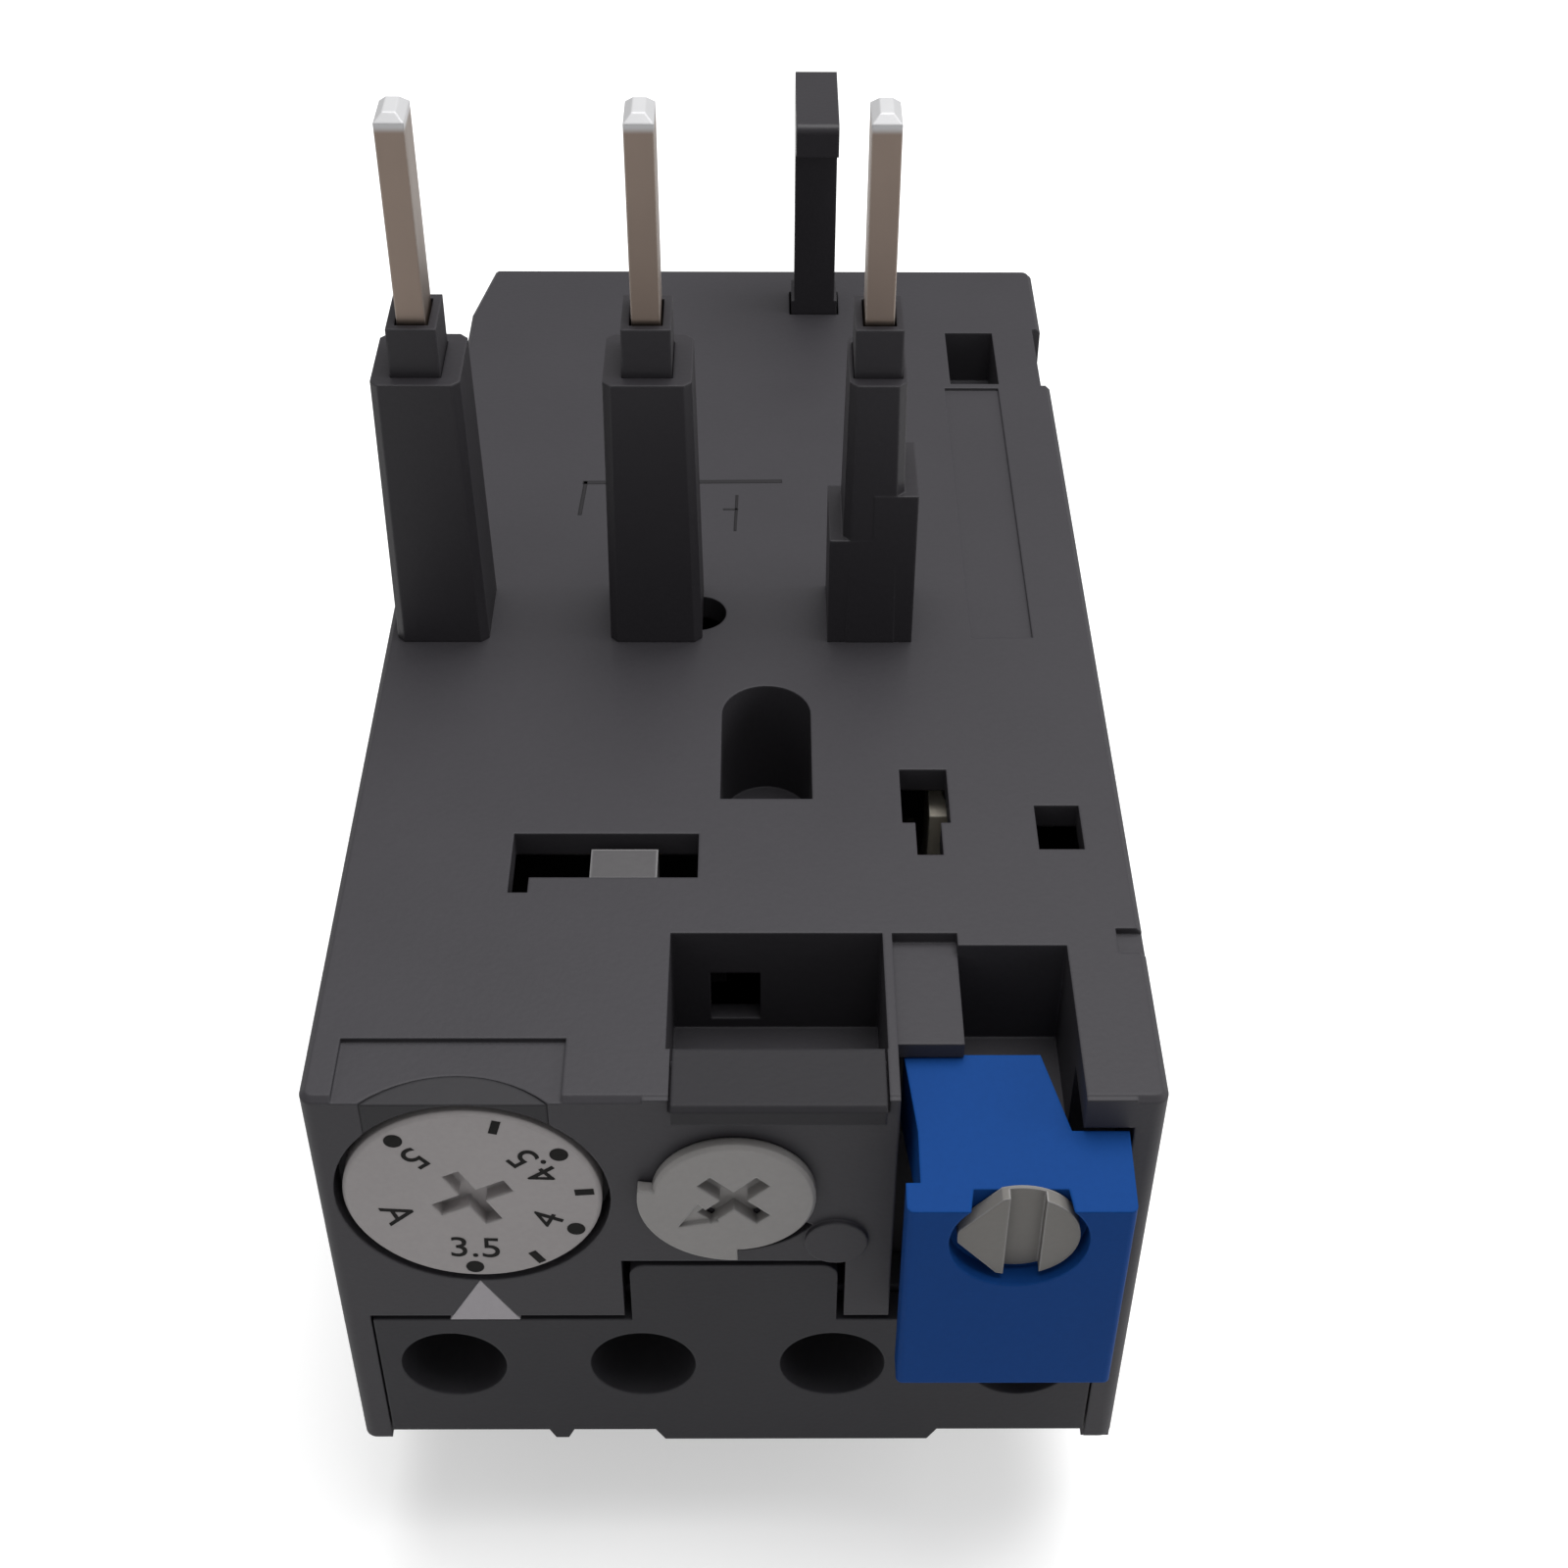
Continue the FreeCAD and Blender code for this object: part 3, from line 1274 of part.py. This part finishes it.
def contact_blade(x):
    """Contact blade on the carrier, with room for a contact at each end."""
    return block((x, x + blade_thickness),
                 (contact_front_depth - contact_tip_half,
                  contact_rear_depth + contact_tip_half),
                 around(contact_tip_drop, blade_height))


# ---- Everything ---------------------------------------------------------------------
def all_parts():
    """Every sub-part by its node name."""
    parts = {
        "case": case(),
        "inner_frame": inner_frame(),
        "aux_terminal_block": aux_terminal_block(),
        "base": base(),
        "terminal_cover": terminal_cover(),
        "bridge_strip": bridge_strip(),
        "setting_pointer": setting_pointer_body(pointer_thickness),
        "setting_dial": setting_dial(),
        "setting_cam": setting_cam(),
        "test_knob": test_knob(),
        "reset_button": reset_button(),
        "reset_spring": reset_spring(),
        "selector_knob": selector_knob(),
        "mounting_hook": mounting_hook(),
        "trip_slide": trip_slide(),
        "trip_lever": trip_lever(),
        "compensation_strip": compensation_strip(),
        "pivot_clip": pivot_clip(),
        "contact_carrier": contact_carrier(),
        "closed_contact_blade": contact_blade(closed_blade_x),
        "open_contact_blade": contact_blade(open_blade_x),
    }
    for i, strip in enumerate(aux_strips(), 1):
        parts[f"aux_strip_{i}"] = strip
        parts[f"aux_clamp_{i}"] = aux_clamp(aux_x[i - 1])
        parts[f"aux_screw_{i}"] = aux_screw(aux_x[i - 1])
    for pole in range(3):
        number = pole + 1
        x = bay_x[pole]
        parts[f"line_pin_{number}"] = line_pin(pole)
        parts[f"inner_sleeve_{number}"] = inner_sleeve(pole)
        parts[f"outer_sleeve_{number}"] = outer_sleeve(pole)
        parts[f"bimetal_{number}"] = bimetal(x)
        parts[f"heater_{number}"] = heater(x)
        parts[f"load_bar_{number}"] = load_bar(x)
        parts[f"main_clamp_{number}"] = main_clamp(x)
        parts[f"main_screw_{number}"] = main_screw(x)
    return parts


os.makedirs("parts", exist_ok=True)
for name, shape in all_parts().items():
    shape.exportStep(f"parts/{name}.step")
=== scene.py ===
import bpy
import math
from mathutils import Matrix, Vector


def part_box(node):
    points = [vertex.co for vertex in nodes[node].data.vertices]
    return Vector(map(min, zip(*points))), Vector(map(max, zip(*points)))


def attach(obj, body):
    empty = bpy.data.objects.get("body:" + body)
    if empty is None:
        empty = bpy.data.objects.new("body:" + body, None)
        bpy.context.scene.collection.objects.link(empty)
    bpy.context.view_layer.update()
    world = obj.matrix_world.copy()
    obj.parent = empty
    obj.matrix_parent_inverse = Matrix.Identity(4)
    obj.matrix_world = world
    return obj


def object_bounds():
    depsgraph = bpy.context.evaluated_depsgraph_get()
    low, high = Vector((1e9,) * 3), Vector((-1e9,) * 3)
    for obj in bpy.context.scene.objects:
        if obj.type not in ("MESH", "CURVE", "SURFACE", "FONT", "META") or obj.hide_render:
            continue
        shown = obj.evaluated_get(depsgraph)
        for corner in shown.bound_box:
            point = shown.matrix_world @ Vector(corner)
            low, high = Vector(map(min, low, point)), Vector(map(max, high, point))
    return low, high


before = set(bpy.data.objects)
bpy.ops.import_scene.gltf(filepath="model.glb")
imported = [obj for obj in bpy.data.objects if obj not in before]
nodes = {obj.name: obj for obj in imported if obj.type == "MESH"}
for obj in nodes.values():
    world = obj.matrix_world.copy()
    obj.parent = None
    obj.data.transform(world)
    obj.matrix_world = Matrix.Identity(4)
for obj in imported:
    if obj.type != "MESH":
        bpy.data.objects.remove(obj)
cad_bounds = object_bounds()


# ---- Bench and light ----------------------------------------------------------------
# The relay stands on a white bench under one broad soft lamp, with two weaker ones from
# the front left and the right, as small parts are lit for a catalogue.
low, high = (Vector(corner) for corner in cad_bounds)
middle = (low + high) / 2


def turn_towards(place, target):
    """Rotation that points a lamp's or camera's -Z at a target."""
    return (Vector(target) - Vector(place)).to_track_quat("-Z", "Y").to_euler()


def soft_lamp(name, place, size, power):
    """Square area lamp aimed at the middle of the relay."""
    lamp = bpy.data.lights.new(name, "AREA")
    lamp.shape = "SQUARE"
    lamp.size = size
    lamp.energy = power
    holder = bpy.data.objects.new(name, lamp)
    holder.location = place
    holder.rotation_euler = turn_towards(place, middle)
    bpy.context.scene.collection.objects.link(holder)


soft_lamp("lamp_overhead", (0.06, 0.06, 0.55), 0.42, 3.3)
soft_lamp("lamp_front_left", (-0.30, -0.42, 0.30), 0.30, 0.10)
soft_lamp("lamp_right", (0.42, -0.05, 0.22), 0.25, 0.45)

camera_data = bpy.data.cameras.new("camera")
camera_data.lens = 53.16
camera_data.sensor_width = 36.0
camera_data.clip_start = 0.01
camera = bpy.data.objects.new("camera", camera_data)
case_low, case_high = (Vector(corner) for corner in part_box("case"))
camera_right = 0.025666      # from the case's left side
camera_ahead = 0.082976      # in front of the case
camera_above = 0.097417      # over the case's top
camera.location = (case_low.x + camera_right, case_low.y - camera_ahead,
                   case_high.z + camera_above)
camera_yaw = math.radians(0.632)
camera_pitch = math.radians(41.713)
camera_roll = math.radians(0.456)
camera.rotation_euler = (Matrix.Rotation(-camera_yaw, 3, "Z")
                         @ Matrix.Rotation(math.pi / 2 - camera_pitch, 3, "X")
                         @ Matrix.Rotation(camera_roll, 3, "Z")).to_euler()
bpy.context.scene.collection.objects.link(camera)
bpy.context.scene.camera = camera

bpy.ops.mesh.primitive_plane_add(size=4.0, location=(0, 0, low.z))
floor = bpy.context.object
floor.name = "floor"


class Reading:
    """One output of a material's nodes; arithmetic on it adds Math nodes."""

    def __init__(self, finish, socket):
        self.finish = finish
        self.socket = socket

    def _math(self, operation, *values):
        return self.finish.node("ShaderNodeMath", {"operation": operation}, *values)

    def __add__(self, other):
        return self._math("ADD", self, other)

    def __sub__(self, other):
        return self._math("SUBTRACT", self, other)

    def __rsub__(self, other):
        return self._math("SUBTRACT", other, self)

    def __mul__(self, other):
        return self._math("MULTIPLY", self, other)

    __radd__ = __add__
    __rmul__ = __mul__

    def over(self, limit, blur):
        """0 below a limit and 1 above it, with a soft change."""
        return self.finish.node("ShaderNodeMapRange", {"interpolation_type": "SMOOTHSTEP"},
                                self, limit - blur, limit + blur)


class Finish:
    """A material being made: it adds nodes and wires up the main shader."""

    def __init__(self, name, colour, roughness, metallic=0.0, shine=0.5):
        self.material = bpy.data.materials.new(name)
        self.material.use_nodes = True
        self.tree = self.material.node_tree
        self.shader = self.tree.nodes["Principled BSDF"]
        self.shader.inputs["Base Color"].default_value = (*colour, 1)
        self.shader.inputs["Roughness"].default_value = roughness
        self.shader.inputs["Metallic"].default_value = metallic
        self.shader.inputs["Specular IOR Level"].default_value = shine

    def node(self, kind, settings, *values, out=0, **named):
        """Adds a node with its settings and the values or links of its inputs."""
        made = self.tree.nodes.new(kind)
        for key, value in settings.items():
            setattr(made, key, value)
        pairs = list(zip(made.inputs, values))
        pairs += [(made.inputs[key.replace("_", " ")], value) for key, value in named.items()]
        for target, value in pairs:
            if isinstance(value, Reading):
                self.tree.links.new(value.socket, target)
            elif value is not None:
                target.default_value = value
        return Reading(self, made.outputs[out])

    def place(self):
        """Place on the piece, in metres."""
        return self.node("ShaderNodeTexCoord", {}, out="Object")

    def height(self):
        """Height on the piece, in metres."""
        return self.node("ShaderNodeSeparateXYZ", {}, self.place(), out="Z")

    def noise(self, size, detail=2.0, stretch=(1, 1, 1)):
        """Noise whose lumps are about a size across, in metres."""
        spread = self.node("ShaderNodeMapping", {}, self.place(),
                           Scale=tuple(axis / size for axis in stretch))
        return self.node("ShaderNodeTexNoise", {}, Vector=spread, Scale=1.0, Detail=detail)

    def blend(self, factor, first, second):
        """Colour between two, by a factor."""
        made = self.tree.nodes.new("ShaderNodeMix")
        made.data_type = "RGBA"
        made.clamp_factor = True
        for index, value in ((0, factor), (6, first), (7, second)):
            if isinstance(value, Reading):
                self.tree.links.new(value.socket, made.inputs[index])
            elif index == 0:
                made.inputs[index].default_value = value
            else:
                made.inputs[index].default_value = (*value, 1)
        return Reading(self, made.outputs[2])

    def soft_edges(self, radius):
        """Normal that rounds the edges off by a radius."""
        return self.node("ShaderNodeBevel", {"samples": 6}, radius)

    def edge_share(self, rounded, start=0.02, end=0.25):
        """0 on flat faces, rising to 1 on the edges."""
        face = self.node("ShaderNodeNewGeometry", {}, out="Normal")
        same = self.node("ShaderNodeVectorMath", {"operation": "DOT_PRODUCT"}, rounded, face,
                         out="Value")
        return self.node("ShaderNodeMapRange", {}, 1 - same, start, end)

    def relief(self, height, strength, distance, normal=None):
        """Bump from a height."""
        return self.node("ShaderNodeBump", {}, Strength=strength, Distance=distance,
                         Height=height, Normal=normal)

    def wire(self, **channels):
        """Links readings to the shader's inputs."""
        for key, reading in channels.items():
            self.tree.links.new(reading.socket, self.shader.inputs[key.replace("_", " ")])


bench = Finish("bench_white", (0.80, 0.80, 0.80), 0.9)
bench_grain = bench.noise(0.02, detail=3.0)
bench.wire(Base_Color=bench.blend(bench_grain, (0.78, 0.78, 0.78), (0.82, 0.82, 0.82)))
seen = bench.node("ShaderNodeLightPath", {}, out="Is Camera Ray")
bench_glow = 0.45            # lifts the bench to white, for the camera only
bench.shader.inputs["Emission Strength"].default_value = bench_glow
bench.wire(Emission_Color=bench.blend(seen, (0, 0, 0), (1, 1, 1)))
floor.data.materials.append(bench.material)

world = bpy.data.worlds.new("studio")
bpy.context.scene.world = world
world.use_nodes = True
backdrop = world.node_tree.nodes["Background"]
backdrop.inputs["Color"].default_value = (1, 1, 1, 1)
sky_light = 0.30
sky_seen = 1.0               # white, for the camera only
path = world.node_tree.nodes.new("ShaderNodeLightPath")
level = world.node_tree.nodes.new("ShaderNodeMapRange")
level.inputs["To Min"].default_value = sky_light
level.inputs["To Max"].default_value = sky_seen
world.node_tree.links.new(path.outputs["Is Camera Ray"], level.inputs["Value"])
world.node_tree.links.new(level.outputs["Result"], backdrop.inputs["Strength"])
bpy.context.scene.view_settings.view_transform = "Standard"


# ---- Housing mouldings --------------------------------------------------------------
# The case, cover, bridge strip and base are glass-filled nylon, dark grey, moulded in
# spark-eroded tools, so they have a fine even grain; their edges carry a painted highlight.
# The cover and the bridge strip are a shade darker than the case.
def dress(finish, *names):
    """Gives CAD nodes a finish."""
    for name in names:
        for slot in nodes[name].material_slots:
            slot.material = finish.material


def moulding(name, colour, painted_edge_highlight, roughness, grain=0.35, edge=0.00022, shine=0.25):
    """Moulded plastic with a fine grain, faint flow marks and slightly round edges with a
    painted highlight.
    """
    made = Finish(name, colour, roughness, shine=shine)
    flow = made.noise(0.011, detail=3.0)
    speckle = made.noise(0.00035, detail=1.0)
    rounded = made.soft_edges(edge)
    share = made.edge_share(rounded)
    dull = tuple(part * 0.88 for part in colour)
    bright = tuple(part * 1.12 for part in colour)
    body = made.blend(flow * 0.6 + speckle * 0.4, dull, bright)
    # The edges are blended towards the lit-edge colour: a painted highlight.
    made.wire(Base_Color=made.blend(share * 0.5, body, painted_edge_highlight),
              Roughness=flow * 0.10 + (roughness - 0.05),
              Normal=made.relief(speckle, grain, 0.00003, rounded))
    return made


dress(moulding("dark_moulding", (0.040, 0.038, 0.043), (0.085, 0.083, 0.092), 0.52), "case")
dress(moulding("cover_moulding", (0.027, 0.026, 0.030), (0.064, 0.062, 0.070), 0.58),
      "terminal_cover")
dress(moulding("bridge_moulding", (0.018, 0.017, 0.020), (0.042, 0.040, 0.046), 0.60),
      "bridge_strip")
dress(moulding("base_moulding", (0.045, 0.045, 0.050), (0.10, 0.10, 0.11), 0.55), "base",
      "inner_frame", "aux_terminal_block")


# ---- Pin sleeves and mounting hook --------------------------------------------------
# Black mouldings pushed up through the top of the case: stepped sleeves that keep the
# pins straight, and the hook that catches the contactor's rear edge.
black = moulding("black_moulding", (0.031, 0.029, 0.033), (0.100, 0.097, 0.106), 0.42)
dress(black, "mounting_hook", *[f"outer_sleeve_{pole}" for pole in (1, 2, 3)],
      *[f"inner_sleeve_{pole}" for pole in (1, 2, 3)])


# ---- Line pins and conductors -------------------------------------------------------
# Tinned copper, stamped from strip: the tin is dull and streaked along the strip. Its edges
# and the pins' tips are painted lighter, as a painted highlight where the light catches them.
def strip_metal(name, colour, bright, roughness, stretch, edge=0.00018):
    """Rolled strip with streaks along it and a painted highlight on the edges."""
    made = Finish(name, colour, roughness, metallic=1.0)
    streaks = made.noise(0.0012, detail=4.0, stretch=stretch)
    blotches = made.noise(0.004, detail=2.0)
    rounded = made.soft_edges(edge)
    share = made.edge_share(rounded)
    dull = tuple(part * 0.78 for part in colour)
    body = made.blend(streaks * 0.6 + blotches * 0.4, dull, colour)
    # The edges are blended towards the bright colour: a painted highlight.
    made.wire(Base_Color=made.blend(share * 0.8, body, bright),
              Roughness=streaks * 0.16 + (roughness - 0.08),
              Normal=made.relief(streaks, 0.25, 0.00003, rounded))
    return made


tin_look = ((0.31, 0.245, 0.205), (0.62, 0.56, 0.52), 0.40, (1, 1, 0.15))
dress(strip_metal("tinned_copper", *tin_look), *[f"load_bar_{pole}" for pole in (1, 2, 3)])

# The pins' top millimetre is painted near-white and less metallic: a painted highlight where
# the light from above catches the tips.
tin_tip = strip_metal("tinned_pin", *tin_look)
tip_length = 0.0009
tip_blur = 0.00025
tip_highlight = tin_tip.height().over(high.z - tip_length, tip_blur)
tip_body = tin_tip.shader.inputs["Base Color"].links[0].from_socket
tin_tip.wire(Base_Color=tin_tip.blend(tip_highlight, Reading(tin_tip, tip_body),
                                      (0.60, 0.60, 0.61)),
             Metallic=1 - tip_highlight * 0.8)
dress(tin_tip, *[f"line_pin_{pole}" for pole in (1, 2, 3)])


# ---- Hollow over the dial -----------------------------------------------------------
# The case's top edge is scooped out over the dial; the scoop slopes down to a thin edge
# that closes the dial's seat. Cut from a round slug by two planes and the seat's bore.
def edit(step, **settings):
    """Runs one edit-mode step on the whole of the active mesh."""
    bpy.ops.object.mode_set(mode="EDIT")
    bpy.ops.mesh.select_all(action="SELECT")
    step(**settings)
    bpy.ops.object.mode_set(mode="OBJECT")


def finish_piece(piece, name, finish, body):
    """Fixes a new piece in place and hands it to its body."""
    bpy.ops.object.select_all(action="DESELECT")
    piece.select_set(True)
    bpy.context.view_layer.objects.active = piece
    bpy.ops.object.transform_apply(location=True, rotation=True, scale=True)
    piece.name = name
    piece.data.materials.clear()
    piece.data.materials.append(finish.material)
    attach(piece, body)


dial_low, dial_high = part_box("setting_dial")
dial_centre = (dial_low + dial_high) / 2
stop_boss_proud = 0.0003     # the boss is the foremost thing on the case
case_front = case_low.y + stop_boss_proud
case_top = case_high.z
hollow_radius = 0.00788
hollow_depth = 0.0020
hollow_bottom = 0.0036
hollow_back_drop = 0.00036
hollow_edge_drop = 0.00048
hollow_shift = 0.00045       # to the left of the dial's middle
hollow_sink = 0.00002        # behind the case's front face
seat_radius = 0.0079
seat_length = 0.02
fine_cut = 0.0000001
bpy.ops.object.select_all(action="DESELECT")
bpy.ops.mesh.primitive_cylinder_add(
    vertices=128, radius=hollow_radius, depth=hollow_bottom,
    location=(dial_centre.x - hollow_shift,
              case_front + hollow_depth - hollow_radius - hollow_sink,
              case_top - hollow_bottom / 2))
hollow = bpy.context.object
bpy.ops.object.transform_apply(location=True)
edit(bpy.ops.mesh.bisect, plane_co=(0, case_front + hollow_sink, 0), plane_no=(0, 1, 0),
     use_fill=True, clear_inner=True, threshold=fine_cut)
slope = Vector((0, hollow_back_drop - hollow_edge_drop, hollow_depth)).normalized()
edit(bpy.ops.mesh.bisect, plane_co=(0, case_front, case_top - hollow_edge_drop),
     plane_no=slope, use_fill=True, clear_outer=True, threshold=fine_cut)
edit(bpy.ops.mesh.remove_doubles, threshold=0.000001)
edit(bpy.ops.mesh.normals_make_consistent, inside=False)
bpy.ops.object.select_all(action="DESELECT")
bpy.ops.mesh.primitive_cylinder_add(vertices=128, radius=seat_radius, depth=seat_length,
                                    location=(dial_centre.x, case_front, dial_centre.z),
                                    rotation=(math.pi / 2, 0, 0))
seat = bpy.context.object
bpy.context.view_layer.objects.active = hollow
bore = hollow.modifiers.new("seat", "BOOLEAN")
bore.operation = "DIFFERENCE"
bore.solver = "EXACT"
bore.object = seat
bpy.ops.object.modifier_apply(modifier="seat")
bpy.data.objects.remove(seat)
# The scoop gets a darker grey than the case: painted shade for its dim, shaded surfaces.
hollow_painted_shade = moulding("hollow_painted_shade_moulding", (0.026, 0.025, 0.028), (0.040, 0.039, 0.043), 0.6)
finish_piece(hollow, "dial_hollow_floor", hollow_painted_shade, "housing")


# ---- Setting dial -------------------------------------------------------------------
# Light grey disc, with the currents printed in dark ink round a cross slot: a dot or a
# bar by each setting, and plain figures inside them.
dress(moulding("grey_dial", (0.32, 0.30, 0.30), (0.44, 0.43, 0.43), 0.48, grain=0.2),
      "setting_dial", "setting_cam")

dial_face = dial_low.y
ink_depth = 0.00003
mark_radius = 0.00645
dot_radius = 0.00053
bar_length = 0.0011
bar_width = 0.0005
ink = Finish("dial_ink", (0.012, 0.011, 0.011), 0.7, shine=0.1)
ink_wear = ink.noise(0.0006, detail=3.0)
ink.wire(Base_Color=ink.blend(ink_wear, (0.006, 0.006, 0.006), (0.020, 0.019, 0.018)))


def on_dial(radius, angle):
    """Point on the dial's face, with the angle anticlockwise from the right."""
    turn = math.radians(angle)
    return Vector((dial_centre.x + radius * math.cos(turn), dial_face,
                   dial_centre.z + radius * math.sin(turn)))


def dial_dot(name, angle):
    """Round printed dot."""
    bpy.ops.mesh.primitive_cylinder_add(vertices=24, radius=dot_radius, depth=2 * ink_depth,
                                        location=on_dial(mark_radius, angle),
                                        rotation=(math.pi / 2, 0, 0))
    finish_piece(bpy.context.object, name, ink, "dial")


def dial_bar(name, angle):
    """Short printed bar that points at the centre."""
    bpy.ops.mesh.primitive_cube_add(size=1, location=on_dial(mark_radius, angle),
                                    rotation=(0, -math.radians(angle), 0))
    bar = bpy.context.object
    bar.scale = (bar_length, 2 * ink_depth, bar_width)
    finish_piece(bar, name, ink, "dial")


def dial_text(name, words, angle, radius=0.0047, size=0.0026):
    """Plain figures whose foot points away from the centre."""
    bpy.ops.object.text_add(location=on_dial(radius, angle),
                            rotation=(math.pi / 2, -math.radians(angle + 90), 0))
    text = bpy.context.object
    text.data.body = words
    text.data.size = size
    text.data.align_x = "CENTER"
    text.data.align_y = "CENTER"
    text.data.extrude = ink_depth
    bpy.ops.object.convert(target="MESH")
    finish_piece(bpy.context.object, name, ink, "dial")


for name, angle in (("low", -93.2), ("second", -26.2), ("third", 36.8), ("high", 128.5)):
    dial_dot(f"dial_dot_{name}", angle)
for name, angle in (("first", -58.6), ("second", 4.7), ("third", 74.5)):
    dial_bar(f"dial_bar_{name}", angle)
for name, words, angle in (("low", "3.5", -92.6), ("second", "4", -25.3),
                           ("third", "4.5", 37.2), ("high", "5", 130), ("unit", "A", 198.7)):
    dial_text(f"dial_text_{name}", words, angle)


# ---- Setting pointer, selector ------------------------------------------------------
# White mouldings: the triangle is a small plate let into the case under the dial, and
# the selector is a knob with a wide slot that turns in the reset button.
dress(moulding("white_pointer", (0.36, 0.34, 0.36), (0.60, 0.59, 0.61), 0.45, grain=0.15),
      "setting_pointer")
dress(moulding("white_selector", (0.165, 0.158, 0.148), (0.58, 0.57, 0.58), 0.45, grain=0.15),
      "selector_knob")


# ---- Test knob ----------------------------------------------------------------------
# Light grey nylon knob with a stepped rim, a cross slot and a pressed arrow, moulded in
# one with its hub. It turns a little way in its bore and springs back.
dress(moulding("grey_knob", (0.26, 0.25, 0.245), (0.44, 0.44, 0.43), 0.42, grain=0.15),
      "test_knob")


# ---- Reset button -------------------------------------------------------------------
# Blue nylon push button, moulded smooth, with a dull finish. It slides in a pocket behind
# the front and holds the selector.
dress(moulding("blue_moulding", (0.007, 0.049, 0.205), (0.014, 0.095, 0.37), 0.50, grain=0.1,
               shine=0.03), "reset_button")


# ---- Terminal screws and clamps -----------------------------------------------------
# Zinc-plated steel screws with a slot, and pressed clamping plates under their heads.
plated = strip_metal("plated_steel", (0.58, 0.57, 0.54), (0.85, 0.85, 0.84), 0.34, (1, 1, 1))
dress(plated, *[f"{kind}_{number}" for kind in ("aux_screw", "aux_clamp")
                for number in (1, 2, 3, 4)],
      *[f"{kind}_{pole}" for kind in ("main_screw", "main_clamp") for pole in (1, 2, 3)])
steel = strip_metal("spring_steel", (0.55, 0.55, 0.55), (0.8, 0.8, 0.8), 0.3, (1, 1, 1))
dress(steel, "reset_spring", "pivot_clip")


# ---- Contacts and trip parts --------------------------------------------------------
# Brass contact strips and blades; natural nylon slides and lever; bimetal strips with
# ribbon heaters wound round them.
brass = strip_metal("brass_strip", (0.58, 0.42, 0.17), (0.85, 0.70, 0.40), 0.32, (1, 1, 0.3))
dress(brass, *[f"aux_strip_{number}" for number in (1, 2, 3, 4)])
dress(steel, "closed_contact_blade", "open_contact_blade")
dress(moulding("natural_moulding", (0.56, 0.52, 0.44), (0.72, 0.69, 0.62), 0.5), "trip_slide",
      "trip_lever")
dress(moulding("clear_grey_moulding", (0.085, 0.082, 0.085), (0.62, 0.61, 0.62), 0.35,
               edge=0.0003), "contact_carrier")
bimetal = strip_metal("bimetal_strip", (0.50, 0.45, 0.38), (0.75, 0.72, 0.66), 0.35,
                      (1, 0.2, 1))
dress(bimetal, "compensation_strip", *[f"bimetal_{pole}" for pole in (1, 2, 3)])
ribbon = strip_metal("heater_ribbon", (0.40, 0.36, 0.31), (0.62, 0.58, 0.52), 0.45, (1, 1, 1))
dress(ribbon, *[f"heater_{pole}" for pole in (1, 2, 3)])


# ---- Marks on the top ---------------------------------------------------------------
# Fine dark lines on the top of the case: a bracket with its leg, and a bar with a tick.
# Each one is a thin bar with bevelled edges that stands a hair above the surface; its dark
# grey is painted shade, standing in for the shade inside engraved lines.
sunk_line_shade = moulding("sunk_line_shade_moulding", (0.017, 0.016, 0.018), (0.022, 0.021, 0.023), 0.6)
line_height = 0.00004


def top_line(name, ends, width):
    """Bevelled line on the top, between two points given across and back, in metres."""
    (x1, d1), (x2, d2) = ends
    length = math.hypot(x2 - x1, d2 - d1)
    bpy.ops.object.select_all(action="DESELECT")
    bpy.ops.mesh.primitive_cube_add(size=1)
    line = bpy.context.object
    line.scale = (length + width, width, line_height)
    bpy.ops.object.transform_apply(scale=True)
    edit(bpy.ops.mesh.bevel, offset=width * 0.3, segments=3, affect="EDGES",
         clamp_overlap=True)
    line.rotation_euler.z = math.atan2(d2 - d1, x2 - x1)
    line.location = ((x1 + x2) / 2, case_front + (d1 + d2) / 2, case_top)
    finish_piece(line, name, sunk_line_shade, "housing")


for name, ends, width in (
        ("bracket", ((-0.0116, 0.0595), (0.0027, 0.0597)), 0.00045),
        ("bracket_leg", ((-0.0116, 0.0595), (-0.0118, 0.0555)), 0.0003),
        ("sign_bar", ((-0.0004, 0.0578), (-0.0005, 0.0535)), 0.00022),
        ("sign_tick", ((-0.0013, 0.0561), (-0.0004, 0.0561)), 0.00022)):
    top_line(f"top_{name}", ends, width)
